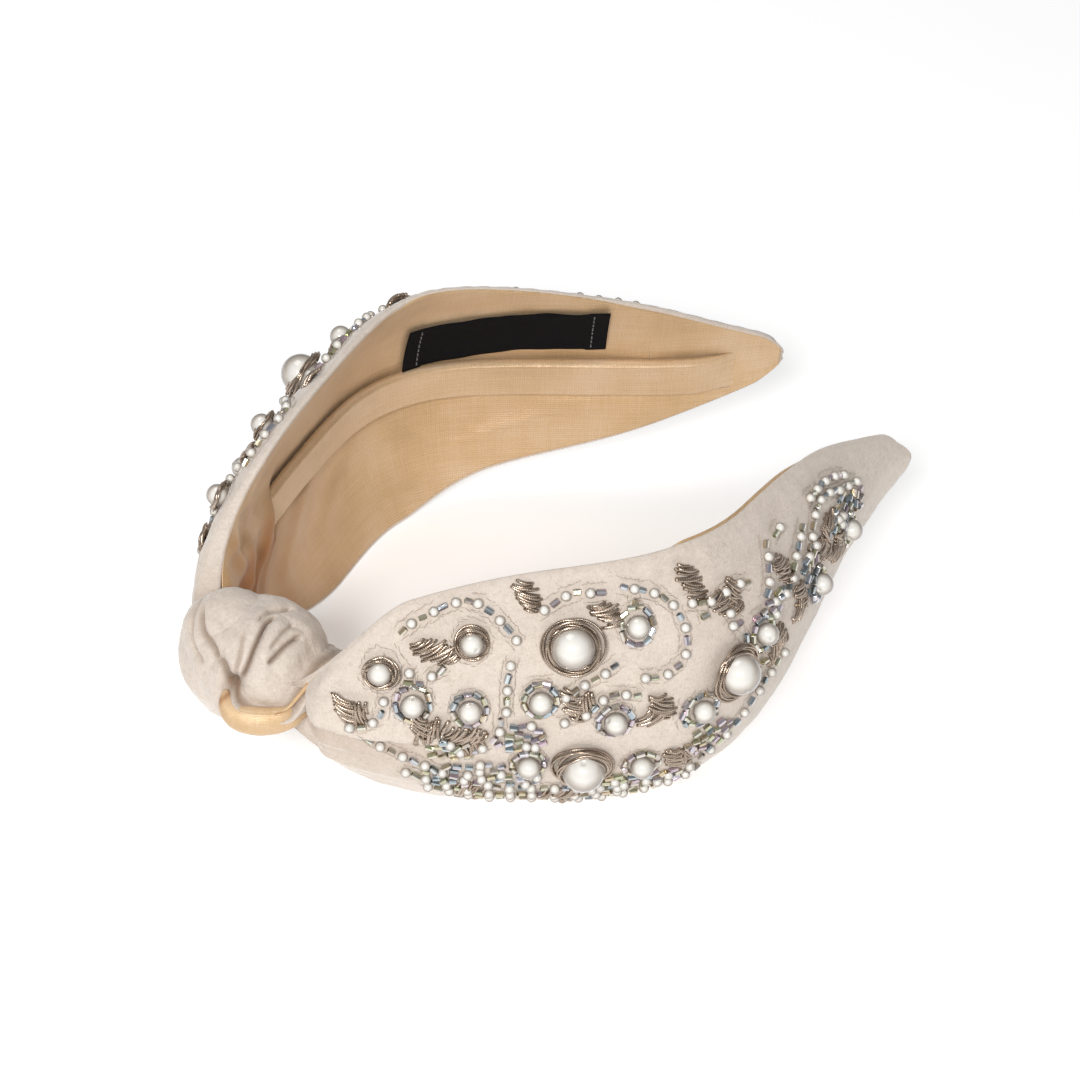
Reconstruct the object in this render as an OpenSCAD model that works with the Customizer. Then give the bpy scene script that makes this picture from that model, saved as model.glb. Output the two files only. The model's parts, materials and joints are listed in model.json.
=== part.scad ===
// Knotted velvet headband with beaded arms, lying on its lower edge.
// +X runs from the knot to the arm tips, +Y is the left arm, +Z is up across the width of the arms.

/* [Arms] */
// Length of one arm along its middle line, from the crown to the tip
arm_len = 178; // [170:1:186]
// Thickness of an arm at its middle
arm_thick = 4.2; // [3.8:0.1:4.8]
// Thickness of an arm along its edges
edge_thick = 1.2; // [1.1:0.1:1.6]
// How far the faces curl inwards at 30 mm above or below the middle line
arm_curl = 10.8; // [8:0.2:12]
// Thickness of the velvet
velvet_thick = 0.8; // [0.6:0.1:0.9]
// Thickness of the lining
lining_thick = 0.35; // [0.2:0.05:0.4]

/* [Band] */
// Width of the plastic band
band_w = 7.6; // [7:0.2:8]
// Thickness of the plastic band
band_thick = 1.5; // [1.2:0.1:1.6]
// Width of the tape sewn over the band
tape_w = 9.2; // [9:0.2:10]

/* [Knot] */
// Outer radius of the wrap around the crown
knot_r = 14.6; // [14.2:0.2:16]
// Length of the wrap along the band
wrap_len = 22; // [20:1:24]
// Outer radius of the loop beside the wrap
loop_r = 14; // [13.6:0.2:15]

/* [Beads] */
// Diameter of the large pearls
large_d = 8; // [7:0.5:8]
// Diameter of the medium pearls
medium_d = 4.4; // [4:0.2:4.6]
// Diameter of the small pearls
small_d = 2; // [1.8:0.1:2.1]
// Diameter of the cut beads
cut_d = 1.4; // [1.2:0.1:1.5]
// Length of the cut beads
cut_len = 1.7; // [1.5:0.1:1.8]
// Diameter of the coiled metal wire
bullion_d = 1.3; // [1:0.1:1.4]

/* [Label] */
// Length of the woven label
label_len = 44; // [38:1:46]
// Width of the woven label
label_w = 12; // [10:0.5:12]

/* [Hidden] */

velvet_col = "#E9DDCB";
gold_col = "#C9A36A";
pearl_col = "#F4F0EA";
metal_col = "#8C8279";

// Bending of the middle line, per 100 mm, at shares of the arm length
BEND = [[0, 3], [0.08, 3], [0.2, 1], [0.35, 0.25], [0.5, 3.1], [0.7, 0.25], [1, -1.25]];
crown_heading = 88;
// Height of the arm above and below its middle line, at shares of the arm length
TOP = [[0.08, 4], [0.2, 24], [0.35, 29], [0.5, 30.5], [0.65, 28], [0.8, 22], [0.93, 12], [1, 6]];
BOTTOM = [[0.08, 8], [0.2, 23], [0.35, 29], [0.5, 28.5], [0.65, 21.5], [0.8, 15], [0.93, 7], [1, 2.5]];

// Every layer of an arm has its sections at the same stations, so that the layers stay parallel
station_step = 5;
root_s = 3 * station_step;
padding_end = arm_len - 6 * station_step;
band_end = arm_len - 4 * station_step;
tape_end = arm_len - 2 * station_step;
gap = 0.15;
hem_w = 0.7;
tape_wall = 0.2;
band_top = gap + tape_wall;

// Places of the pearls: distance along the arm and height on its face
LARGE = [[65, 18], [68, -7], [95, 8]];
MEDIUM = [[31, 13], [37, 8], [47, 18.5], [47, 7], [59.5, 8.5], [77, 20.5], [73, 4], [88, 3],
    [58, -6], [78.5, -8], [103, 11], [126, 6], [145, 5]];
// The medium pearls that stand in a ring of coiled wire instead of cut beads
COILED = [0, 2];
// Scrolls of small pearls and cut beads
SCROLLS = [
    [[33, 18], [36, 21], [41, 23.5], [47, 24.5], [52, 22], [55, 19]],
    [[60, 23.5], [65, 25.5], [71, 26], [77, 26], [83, 24], [86, 19.5], [85, 14], [80.5, 11.5], [76, 12.5]],
    [[119, 22], [112, 22], [109, 18.5], [105, 16], [99, 15.5], [93, 17], [89.5, 20.5]],
    [[54, 15], [53.5, 10], [53, 5], [51, 0], [47, -3]],
    [[152, 11], [144, 14], [136, 17], [128, 15], [122, 11], [121, 5], [126, 0]],
    [[28, 0], [34, -4], [42, -8], [51, -12], [60, -14], [70, -15], [80, -15], [89, -12], [96, -5], [103, 1], [110, 3]],
    [[40, -14], [50, -19], [62, -22], [74, -22], [84, -19], [92, -14]],
];
// Leaves of coiled wire: place, angle and length
LEAVES = [[40.5, 17, 20, 7], [26, 6, 70, 6], [40, 2.5, -30, 6], [46, 1.5, 15, 6], [57, 25.5, 75, 5],
    [65.5, 7.5, 70, 6], [71.5, 22.5, 55, 5], [81, 6, 60, 5], [90, 25, 70, 7], [96, 20, 45, 7],
    [107, 8, 40, 7], [114, 17, 70, 7], [118, 9, 60, 6], [131, 10, 50, 7], [137, 12, 35, 6],
    [138, 5, 20, 6], [65, -18.5, 0, 7], [48, -14.5, -25, 6], [85, -8, 60, 6]];

function mix(a, b, t) = a + (b - a) * t;

// Value of a table at x, with a smooth curve that never overshoots its points
function slope(T, i) = (T[i + 1][1] - T[i][1]) / (T[i + 1][0] - T[i][0]);
function tangent(T, i) =
    i == 0 ? slope(T, 0) :
    i == len(T) - 1 ? slope(T, i - 1) :
    slope(T, i - 1) * slope(T, i) <= 0 ? 0 :
    2 * slope(T, i - 1) * slope(T, i) / (slope(T, i - 1) + slope(T, i));
function cubic(T, i, t, w) =
    T[i][1] * (1 + 2 * t) * (1 - t) ^ 2 + T[i + 1][1] * t ^ 2 * (3 - 2 * t)
    + w * (tangent(T, i) * t * (1 - t) ^ 2 - tangent(T, i + 1) * t ^ 2 * (1 - t));
function smooth_table(T, x) =
    x <= T[0][0] ? T[0][1] :
    x >= T[len(T) - 1][0] ? T[len(T) - 1][1] :
    let (i = max([for (k = [0 : len(T) - 2]) if (T[k][0] <= x) k]), w = T[i + 1][0] - T[i][0])
    cubic(T, i, (x - T[i][0]) / w, w);

function top_at(s) = smooth_table(TOP, abs(s) / arm_len);
function bottom_at(s) = smooth_table(BOTTOM, abs(s) / arm_len);
function bend_at(s) = smooth_table(BEND, s / arm_len) * 1.8 / PI;

// Middle line of the left arm in plan, one entry a millimetre: x, y and heading
PLAN = [for (s = 0, p = [0, 0, crown_heading]; s <= arm_len;
    p = [p[0] + cos(p[2]), p[1] + sin(p[2]), p[2] - bend_at(s + 0.5)], s = s + 1) p];
function plan_at(s) = let (i = min(floor(s), len(PLAN) - 2)) mix(PLAN[i], PLAN[i + 1], s - i);

// Point at a distance s along the arm, z up its face and n out from its inner face.
// A negative s is on the other side of the crown.
function face_tilt(z) = atan(2 * arm_curl * z / 900);
function arm_point(s, z, n) =
    let (p = plan_at(abs(s)), q = arm_curl * (z / 30) ^ 2 - n * cos(face_tilt(z)))
    [p[0] + sin(p[2]) * q, (s < 0 ? -1 : 1) * (p[1] - cos(p[2]) * q), z + n * sin(face_tilt(z))];

function edge_share(s, z) = z > 0 ? z / top_at(s) : -z / bottom_at(s);
function thick_at(s, z) = edge_thick + (arm_thick - edge_thick) * (1 - edge_share(s, z) ^ 3);

// Closed skin through a list of sections that have the same number of points
module skin(rows) {
    m = len(rows[0]);
    last = (len(rows) - 1) * m;
    points = [for (row = rows) each row];
    sides = [for (i = [0 : len(rows) - 2], k = [0 : m - 1], half = [0, 1])
        let (a = i * m + k, b = i * m + (k + 1) % m)
        half == 0 ? [a, b, b + m] : [a, b + m, a + m]];
    ends = [[for (k = [m - 1 : -1 : 0]) k], [for (k = [0 : m - 1]) last + k]];
    polyhedron(points, concat(sides, ends));
}

// Both ends, and every whole station between them
function stations(from, to) =
    let (first = floor(from / station_step) + 1, last = ceil(to / station_step) - 1)
    concat([from], [for (i = [first : last]) i * station_step], [to]);

// Points up a face at station s, from one margin inside the lower edge to the same margin inside the top
function rise(s, margin, count = 12) =
    [for (i = [0 : count]) mix(-bottom_at(s) + margin, top_at(s) - margin, i / count)];

function velvet_section(s) =
    let (low = -bottom_at(s), high = top_at(s), z_out = rise(s, 0), z_in = rise(s, hem_w),
        depth = s > tape_end ? 0.2 : 1)
    concat([[low, 0]], [for (z = z_out) [z, thick_at(s, z)]], [[high, 0], [high - hem_w, 0]],
        [for (i = [len(z_in) - 1 : -1 : 0]) [z_in[i], depth * (thick_at(s, z_in[i]) - velvet_thick)]],
        [[low + hem_w, 0]]);

function lining_section(s) =
    let (zs = rise(s, hem_w + gap))
    concat([for (z = zs) [z, lining_thick]], [for (i = [len(zs) - 1 : -1 : 0]) [zs[i], 0]]);

function padding_section(s) =
    let (zs = rise(s, hem_w + 3), low = lining_thick + gap)
    concat([for (z = zs) [z, thick_at(s, z) - velvet_thick - 1.5 * gap]],
        [for (i = [len(zs) - 1 : -1 : 0]) [zs[i], low]]);

module arm_skin(from, to, section) {
    skin([for (s = stations(from, to)) [for (q = section(s)) arm_point(s, q[0], q[1])]]);
}

// The frame's origin is under the middle of the whole object, on the surface that it lies on
knot_x = 3.5;
knot_z = -1.5;
outline = [for (s = stations(root_s, arm_len)) for (q = velvet_section(s)) arm_point(s, q[0], q[1])];
frame_x = (max([for (p = outline) p[0]]) + knot_x - knot_r) / 2;
frame_z = -min([for (p = outline) p[2]]);

module place(side = "left") {
    translate([-frame_x, 0, frame_z])
        mirror([0, side == "right" ? 1 : 0, 0])
            children();
}

// Puts children on the outer face: local X along the arm, local Y up the face, local Z outwards
module on_face(s, z, lift = 0, spin = 0) {
    p = plan_at(s);
    tilt = face_tilt(z);
    translate(arm_point(s, z, thick_at(s, z) + lift))
        rotate([0, 0, p[2]])
            rotate([90 - tilt, 0, 180])
                rotate([0, 0, spin])
                    children();
}

module spring_band() {
    color("#D8D2C4") place()
        arm_skin(-band_end, band_end, function(s)
            [for (q = [[-1, 1], [1, 1], [1, 0], [-1, 0]])
                [q[0] * band_w / 2, -band_top - q[1] * band_thick]]);
}

// Knot solids turn about a line along the band through the middle of the knot
module about_knot() {
    place() translate([knot_x, 0, knot_z]) rotate([90, 0, 0]) children();
}
module oval_ring(radius, inner, length) {
    rotate_extrude($fn = 64)
        polygon(concat([[inner, -length / 2.4], [inner, length / 2.4]],
            [for (a = [80 : -10 : -80]) [mix(inner, radius, 0.35 + 0.65 * cos(a)), length / 2 * sin(a)]]));
}
module knot_core() {
    color(velvet_col) difference() {
        about_knot() rotate_extrude($fn = 48)
            polygon([for (a = [-90 : 10 : 90]) [8 * cos(a), 9 * sin(a)]]);
        place() translate([1.4, 0, 0]) cube([4.4, 30, band_w + 1], center = true);
    }
}
module knot_wrap() {
    color(velvet_col) about_knot() translate([0, 0, 5.5]) oval_ring(knot_r, 11, wrap_len);
}
module knot_loop() {
    color(velvet_col) about_knot() translate([0, 0, -11.5]) oval_ring(loop_r, 11, 10);
}
module knot_lining() {
    // Strip of lining that shows below the wrap, where its edge turns out
    color(gold_col) about_knot() rotate([0, 0, 200]) rotate_extrude(angle = 85, $fn = 64)
        translate([knot_r + 2 * gap, -2]) square([0.8, 15]);
}

module velvet(side) {
    color(velvet_col) place(side) arm_skin(root_s, arm_len, function(s) velvet_section(s));
}
module padding(side) {
    color("white") place(side) arm_skin(root_s + station_step, padding_end, function(s) padding_section(s));
}
module lining(side) {
    color(gold_col) place(side) arm_skin(root_s, tape_end, function(s) lining_section(s));
}
module tape(side) {
    // Channel that is open towards the lining, with the band inside
    out_z = tape_w / 2;
    in_z = band_w / 2 + gap;
    floor_n = -band_top - gap - band_thick;
    section = [[-out_z, -gap], [-in_z, -gap], [-in_z, floor_n], [in_z, floor_n], [in_z, -gap],
        [out_z, -gap], [out_z, -gap - tape_wall], [in_z + tape_wall, floor_n - tape_wall],
        [-in_z - tape_wall, floor_n - tape_wall], [-out_z, -gap - tape_wall]];
    color(gold_col) place(side) arm_skin(root_s + station_step, tape_end - station_step, function(s) section);
}

module pearls(side, places, d) {
    color(pearl_col) place(side)
        for (q = places) on_face(q[0], q[1], 0.05 + d / 2) sphere(d = d, $fn = 32);
}
ring_gap = 1.1;
coil_places = concat([for (q = LARGE) [q[0], q[1], large_d]], [for (i = COILED) [MEDIUM[i][0], MEDIUM[i][1], medium_d]]);
beaded = [for (i = [0 : len(MEDIUM) - 1]) if (len([for (k = COILED) if (k == i) k]) == 0) MEDIUM[i]];

// True where a bead of radius r at p keeps clear of the pearls, their rings and the leaves
function flat_gap(p, q) = norm([p[0] - q[0], p[1] - q[1]]);
function clear_of_pearls(p, r, ring) =
    min([for (q = LARGE) flat_gap(p, q) - large_d / 2 - ring * (bullion_d + 0.3) - r]) > 0
    && min([for (q = MEDIUM) flat_gap(p, q) - medium_d / 2 - ring * (cut_d + 0.7) - r]) > 0;
function leaf_gap(p, leaf) =
    let (u = p - [leaf[0], leaf[1]], a = leaf[2], x = u[0] * cos(a) + u[1] * sin(a), y = u[1] * cos(a) - u[0] * sin(a))
    norm([x / (leaf[3] / 2), y / 1.9]) - 1;
function clear_of_leaves(p, r) = min([for (leaf = LEAVES) leaf_gap(p, leaf)]) > r / 1.9;

// Points every `pitch` along a curve that passes smoothly through hand-placed points
function knot_point(P, i) =
    i < 0 ? 2 * P[0] - P[1] : i >= len(P) ? 2 * P[len(P) - 1] - P[len(P) - 2] : P[i];
function curve_point(P, u) =
    let (i = min(floor(u), len(P) - 2), t = u - i,
        a = knot_point(P, i - 1), b = P[i], c = P[i + 1], d = knot_point(P, i + 2))
    0.5 * (2 * b + (c - a) * t + (2 * a - 5 * b + 4 * c - d) * t ^ 2 + (3 * b - a - 3 * c + d) * t ^ 3);
function dense(P) = [for (k = [0 : (len(P) - 1) * 12]) curve_point(P, k / 12)];
function lengths(D) = [for (k = 0, total = 0; k < len(D);
    total = total + (k < len(D) - 1 ? norm(D[k + 1] - D[k]) : 0), k = k + 1) total];
function along(P, pitch) =
    let (D = dense(P), lens = lengths(D), xs = [for (k = [0 : len(D) - 1]) [lens[k], D[k][0]]],
        ys = [for (k = [0 : len(D) - 1]) [lens[k], D[k][1]]], total = lens[len(D) - 1])
    [for (k = [0 : floor(total / pitch)]) [lookup(k * pitch, xs), lookup(k * pitch, ys),
        atan2(lookup(k * pitch + 0.4, ys) - lookup(k * pitch - 0.4, ys),
            lookup(k * pitch + 0.4, xs) - lookup(k * pitch - 0.4, xs))]];
bead_pitch = 2.15;
chain = [for (P = SCROLLS) let (row = along(P, bead_pitch)) for (k = [0 : len(row) - 1])
    let (q = row[k]) if (clear_of_pearls([q[0], q[1]], 1.1, 1) && clear_of_leaves([q[0], q[1]], 1.2))
        [q[0], q[1], q[2], k % 2]];
chain_pearls = [for (q = chain) if (q[3] == 0) q];
ring_beads = [for (i = [0 : len(beaded) - 1], k = [0 : 9])
    let (r = medium_d / 2 + ring_gap, q = beaded[i] + r * [cos(36 * k), sin(36 * k)])
    if (min([for (o = beaded) if (o != beaded[i]) flat_gap(q, o)]) > r + 1.3
        && min([for (o = coil_places) flat_gap(q, o) - o[2] / 2]) > bullion_d + 1.1
        && clear_of_leaves(q, 1.3))
        [q[0], q[1], 36 * k + 90]];
cut_places = concat(ring_beads, [for (q = chain) if (q[3] == 1) q]);

module cut_beads(side) {
    color("#B9B4BC") place(side)
        for (q = cut_places) on_face(q[0], q[1], 0.05 + cut_d / 2, q[2])
            rotate([0, 90, 0]) cylinder(h = cut_len, d = cut_d, center = true, $fn = 16);
}
module bullion_rings(side) {
    color(metal_col) place(side)
        for (q = coil_places) on_face(q[0], q[1], 0.4 + bullion_d / 2)
            rotate_extrude($fn = 48) translate([q[2] / 2 + 0.5, 0]) circle(d = bullion_d, $fn = 16);
}
module leaf(length, width) {
    r = (length ^ 2 + width ^ 2) / (4 * width);
    linear_extrude(0.9) intersection() {
        translate([0, r - width / 2]) circle(r, $fn = 64);
        translate([0, width / 2 - r]) circle(r, $fn = 64);
    }
}
module bullion_leaves(side) {
    color(metal_col) place(side)
        for (q = LEAVES) on_face(q[0], q[1], 0.45, q[2]) leaf(q[3], 3.2);
}
module outline_thread(side) {
    // Stitched line beside each scroll, as short straight stitches
    color("#8A7A66") place(side)
        for (P = SCROLLS) for (q = along(P, 3.2))
            let (p = [q[0], q[1]] + 1.75 * [-sin(q[2]), cos(q[2])])
            if (clear_of_pearls(p, 1.2, 1) && clear_of_leaves(p, 1) && clear_of_chain(p))
                on_face(p[0], p[1], 0.2 + 0.2, q[2])
                    rotate([0, 90, 0]) cylinder(h = 2.2, d = 0.4, center = true, $fn = 16);
}
function clear_of_chain(p) = min([for (q = concat(chain, ring_beads)) flat_gap(p, q)]) > 1.55;

label_s = 0.655 * arm_len;
label_z = 12.9;
label_rise = 0.08;
label_thick = 0.4;
function label_mid(s) = label_z + label_rise * (s - label_s);
module label() {
    tab = 4;
    from = label_s - label_len / 2;
    to = label_s + label_len / 2;
    color("#16161A") place() {
        arm_skin(from, to, function(s) strip(label_mid(s), label_w / 2, -gap));
        for (s = [from, to - tab])
            arm_skin(s, s + tab, function(s) strip(label_mid(s), label_w / 2 + 0.4, -1.5 * gap - label_thick));
    }
}
function strip(mid, half, top) =
    concat([for (k = [-1, 0, 1]) [mid + k * half, top]], [for (k = [1, 0, -1]) [mid + k * half, top - label_thick]]);
module label_stitches() {
    color("#2A2A2E") place()
        for (end = [-1, 1], k = [-2 : 2])
            let (s = label_s + end * (label_len / 2 - 2))
            translate(arm_point(s, label_mid(s) + 2.4 * k, -2 * label_thick - 1.5 * gap - 0.5))
                cylinder(h = 1.2, d = 0.3, center = true, $fn = 16);
}

spring_band();
knot_core();
knot_wrap();
knot_loop();
knot_lining();
velvet("left");  // left_velvet
padding("left");  // left_padding
lining("left");  // left_lining
tape("left");  // left_tape
pearls("left", LARGE, large_d);  // left_large_pearls
pearls("left", MEDIUM, medium_d);  // left_medium_pearls
pearls("left", chain_pearls, small_d);  // left_small_pearls
cut_beads("left");  // left_cut_beads
bullion_rings("left");  // left_bullion_rings
bullion_leaves("left");  // left_bullion_leaves
outline_thread("left");  // left_outline_thread
velvet("right");  // right_velvet
padding("right");  // right_padding
lining("right");  // right_lining
tape("right");  // right_tape
pearls("right", LARGE, large_d);  // right_large_pearls
pearls("right", MEDIUM, medium_d);  // right_medium_pearls
pearls("right", chain_pearls, small_d);  // right_small_pearls
cut_beads("right");  // right_cut_beads
bullion_rings("right");  // right_bullion_rings
bullion_leaves("right");  // right_bullion_leaves
outline_thread("right");  // right_outline_thread
label();
label_stitches();
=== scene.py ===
"""Knotted velvet headband with beaded arms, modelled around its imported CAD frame."""
import json
import math

import bpy
import bmesh
import numpy as np
from mathutils import Matrix, Vector, noise

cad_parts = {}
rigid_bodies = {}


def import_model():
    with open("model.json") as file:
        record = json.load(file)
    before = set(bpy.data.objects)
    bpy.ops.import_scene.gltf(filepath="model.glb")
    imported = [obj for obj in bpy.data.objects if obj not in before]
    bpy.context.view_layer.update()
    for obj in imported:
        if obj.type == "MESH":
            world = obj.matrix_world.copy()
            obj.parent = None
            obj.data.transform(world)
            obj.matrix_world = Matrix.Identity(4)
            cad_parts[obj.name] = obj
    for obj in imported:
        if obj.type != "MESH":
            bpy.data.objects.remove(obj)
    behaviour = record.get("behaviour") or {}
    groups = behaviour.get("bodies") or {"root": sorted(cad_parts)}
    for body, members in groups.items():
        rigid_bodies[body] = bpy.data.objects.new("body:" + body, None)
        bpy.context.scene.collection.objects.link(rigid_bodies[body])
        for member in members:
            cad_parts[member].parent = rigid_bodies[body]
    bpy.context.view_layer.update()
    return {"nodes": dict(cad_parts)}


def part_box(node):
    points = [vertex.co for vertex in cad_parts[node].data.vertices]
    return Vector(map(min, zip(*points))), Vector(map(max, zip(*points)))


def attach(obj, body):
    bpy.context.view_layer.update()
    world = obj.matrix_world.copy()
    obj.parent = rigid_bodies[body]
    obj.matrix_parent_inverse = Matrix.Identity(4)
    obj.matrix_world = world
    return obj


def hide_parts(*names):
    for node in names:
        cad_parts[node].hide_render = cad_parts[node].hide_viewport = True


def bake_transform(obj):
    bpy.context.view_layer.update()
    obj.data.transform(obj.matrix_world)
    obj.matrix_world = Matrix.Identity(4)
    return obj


bl_info = {
    "name": "Knotted headband",
    "version": (1, 0, 0),
    "blender": (4, 5, 0),
    "location": "View3D > Sidebar > Headband",
    "description": "Builds a padded velvet headband with a knot, a satin lining and beaded arms",
    "category": "Add Mesh",
}

for leftover in list(bpy.data.objects):
    bpy.data.objects.remove(leftover)
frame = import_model()

MM = 0.001
SIDES = {"left": 1, "right": -1}

# The design curve of an arm, as shares of its length: bending per 100 mm, and height above and below
BEND = [(0, 3), (0.08, 3), (0.2, 1), (0.35, 0.25), (0.5, 3.1), (0.7, 0.25), (1, -1.25)]
TOP = [(0.08, 4), (0.2, 24), (0.35, 29), (0.5, 30.5), (0.65, 28), (0.8, 22), (0.93, 12), (1, 6)]
BOTTOM = [(0.08, 8), (0.2, 23), (0.35, 29), (0.5, 28.5), (0.65, 21.5), (0.8, 15), (0.93, 7), (1, 2.5)]
CROWN_HEADING = 88
ARM_LEN = 178
ARM_THICK = 4.2
EDGE_THICK = 1.2
# How far inwards the face curls at CURL_SPAN above or below its middle
CURL = 10.8
CURL_SPAN = 30
# Stations where the layers of an arm start or end
VELVET_START = 11
LINING_START = 12
TAPE_START = 36
TAPE_END = ARM_LEN - 7
BAND_END = 158
FOAM_END = 148
# Strips that the velvet's face is divided into between its edges
FACE_STEPS = 84
# Where the upper layer of velvet folds over the lower one, beside the knot
FOLD_Z = 1.3

# How far the knot's middle sits from the crown towards the tips, and below the middle line of the arms
KNOT_INSIDE = 3.5
KNOT_BELOW = 1.5
wrap_low, wrap_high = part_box("knot_wrap")
CROWN_X = (wrap_low.x + wrap_high.x) / 2 / MM - KNOT_INSIDE
MIDDLE_Z = (wrap_low.z + wrap_high.z) / 2 / MM + KNOT_BELOW
KNOT = Vector((CROWN_X + KNOT_INSIDE, 0, MIDDLE_Z - KNOT_BELOW))


# ---------------------------------------------------------------- curves and surfaces of an arm

def secant(table, i):
    return (table[i + 1][1] - table[i][1]) / (table[i + 1][0] - table[i][0])


def tangent(table, i):
    if i == 0:
        return secant(table, 0)
    if i == len(table) - 1:
        return secant(table, i - 1)
    before, after = secant(table, i - 1), secant(table, i)
    return 0 if before * after <= 0 else 2 * before * after / (before + after)


def smooth_table(table, x):
    """Value of a table at x, on a smooth curve that never overshoots its points."""
    if x <= table[0][0]:
        return table[0][1]
    if x >= table[-1][0]:
        return table[-1][1]
    i = max(k for k in range(len(table) - 1) if table[k][0] <= x)
    width = table[i + 1][0] - table[i][0]
    t = (x - table[i][0]) / width
    return (table[i][1] * (1 + 2 * t) * (1 - t) ** 2 + table[i + 1][1] * t ** 2 * (3 - 2 * t)
            + width * (tangent(table, i) * t * (1 - t) ** 2 - tangent(table, i + 1) * t ** 2 * (1 - t)))


def plan_of_arm():
    """Middle line of an arm in plan, one entry a millimetre: x, y and heading in radians."""
    line, x, y, heading = [], 0.0, 0.0, math.radians(CROWN_HEADING)
    for s in range(ARM_LEN + 1):
        line.append((x, y, heading))
        x, y = x + math.cos(heading), y + math.sin(heading)
        heading -= smooth_table(BEND, (s + 0.5) / ARM_LEN) / 100
    return line


PLAN = plan_of_arm()


def plan_at(s):
    i = max(0, min(int(s), ARM_LEN - 1))
    a, b, t = PLAN[i], PLAN[i + 1], s - i
    return [a[k] + (b[k] - a[k]) * t for k in range(3)]


def top_at(s):
    return smooth_table(TOP, s / ARM_LEN)


def bottom_at(s):
    return smooth_table(BOTTOM, s / ARM_LEN)


def tip_round(s):
    """Share of an arm's height that is left where its tip rounds off."""
    return math.sqrt(max(0.0, 1 - (max(0.0, s - ARM_LEN + 7) / 7.3) ** 2))


def face_span(s):
    """Middle height of an arm's face and half of its height, with the tip rounded off."""
    return (top_at(s) - bottom_at(s)) / 2, (top_at(s) + bottom_at(s)) / 2 * tip_round(s)


def edge_gap(s, z):
    """Distance up or down the face to its nearer edge."""
    return min(top_at(s) - z, z + bottom_at(s))


def thick_at(s, z):
    share = min(1, z / top_at(s) if z > 0 else -z / bottom_at(s))
    return EDGE_THICK + (ARM_THICK - EDGE_THICK) * (1 - share ** 3)


def arm_point(side, s, z, n):
    """Point at s along an arm, z up its face and n out from its inner face, in metres in the frame."""
    x, y, heading = plan_at(s)
    tilt = math.atan(2 * CURL * z / CURL_SPAN ** 2)
    inwards = CURL * (z / CURL_SPAN) ** 2 - n * math.cos(tilt)
    return Vector((CROWN_X + x + math.sin(heading) * inwards,
                   SIDES[side] * (y - math.cos(heading) * inwards),
                   MIDDLE_Z + z + n * math.sin(tilt))) * MM


def ease(x):
    x = max(0.0, min(1.0, x))
    return x * x * (3 - 2 * x)


def bump(x, width):
    return math.exp(-(x / width) ** 2)


def soft_noise(x, y, z=0.0):
    return noise.noise(Vector((x, y, z)))


# ---------------------------------------------------------------- mesh helpers

def deselect():
    if bpy.context.object and bpy.context.object.mode != "OBJECT":
        bpy.ops.object.mode_set(mode="OBJECT")
    bpy.ops.object.select_all(action="DESELECT")


def activate(obj):
    deselect()
    obj.select_set(True)
    bpy.context.view_layer.objects.active = obj


def apply_modifier(obj, kind, **settings):
    modifier = obj.modifiers.new(kind.title(), kind)
    for key, value in settings.items():
        setattr(modifier, key, value)
    activate(obj)
    bpy.ops.object.modifier_apply(modifier=modifier.name)


def smooth(obj, angle=None):
    activate(obj)
    if angle is None:
        bpy.ops.object.shade_smooth()
    else:
        bpy.ops.object.shade_smooth_by_angle(angle=math.radians(angle))


def recalculate_outwards(obj, merge=True):
    activate(obj)
    bpy.ops.object.mode_set(mode="EDIT")
    bpy.ops.mesh.select_all(action="SELECT")
    if merge:
        bpy.ops.mesh.remove_doubles(threshold=1e-7)
    bpy.ops.mesh.normals_make_consistent(inside=False)
    bpy.ops.object.mode_set(mode="OBJECT")


def new_mesh(name, points, faces):
    mesh = bpy.data.meshes.new(name)
    mesh.from_pydata([tuple(p) for p in points], [], faces)
    mesh.update()
    obj = bpy.data.objects.new(name, mesh)
    bpy.context.scene.collection.objects.link(obj)
    return obj


def closed_skin(name, rows):
    """Closed tube through rows of points, each row a ring."""
    count = len(rows[0])
    starts = range(0, (len(rows) - 1) * count, count)
    faces = [(a + k, a + (k + 1) % count, a + count + (k + 1) % count, a + count + k)
             for a in starts for k in range(count)]
    faces.append(tuple(reversed(range(count))))
    faces.append(tuple((len(rows) - 1) * count + k for k in range(count)))
    obj = new_mesh(name, [p for row in rows for p in row], faces)
    recalculate_outwards(obj)
    return obj


def keep_values(obj, name, values):
    """Stores a number for each point: painted shade in a fold, the height on a coil's ridge, painted highlight
    streaks on a bead, or tint.
    """
    obj.data.attributes.new(name, "FLOAT", "POINT").data.foreach_set("value", list(values))


def cloth_grid(name, us, vs, place, thickness, shade=None):
    """Sheet laid out as a grid over us by vs, with those as its UV map in millimetres and an optional painted shade
    for each point, then given thickness.
    """
    deselect()
    bpy.ops.mesh.primitive_grid_add(x_subdivisions=len(us) - 1, y_subdivisions=len(vs) - 1, size=2)
    obj = bpy.context.object
    obj.name = obj.data.name = name
    where = []
    for vertex in obj.data.vertices:
        i = round((vertex.co.x + 1) / 2 * (len(us) - 1))
        j = round((vertex.co.y + 1) / 2 * (len(vs) - 1))
        where.append((us[i], vs[j]))
        vertex.co = place(us[i], vs[j])
    layer = obj.data.uv_layers[0].data
    for loop in obj.data.loops:
        layer[loop.index].uv = where[loop.vertex_index]
    # Painted shade for each point, read by the cloth's finish
    if shade:
        keep_values(obj, "shade", [shade(u, v) for u, v in where])
    apply_modifier(obj, "SOLIDIFY", thickness=thickness * MM, offset=0)
    smooth(obj)
    return obj


def spaced(low, high, count):
    return [low + (high - low) * i / count for i in range(count + 1)]


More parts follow.
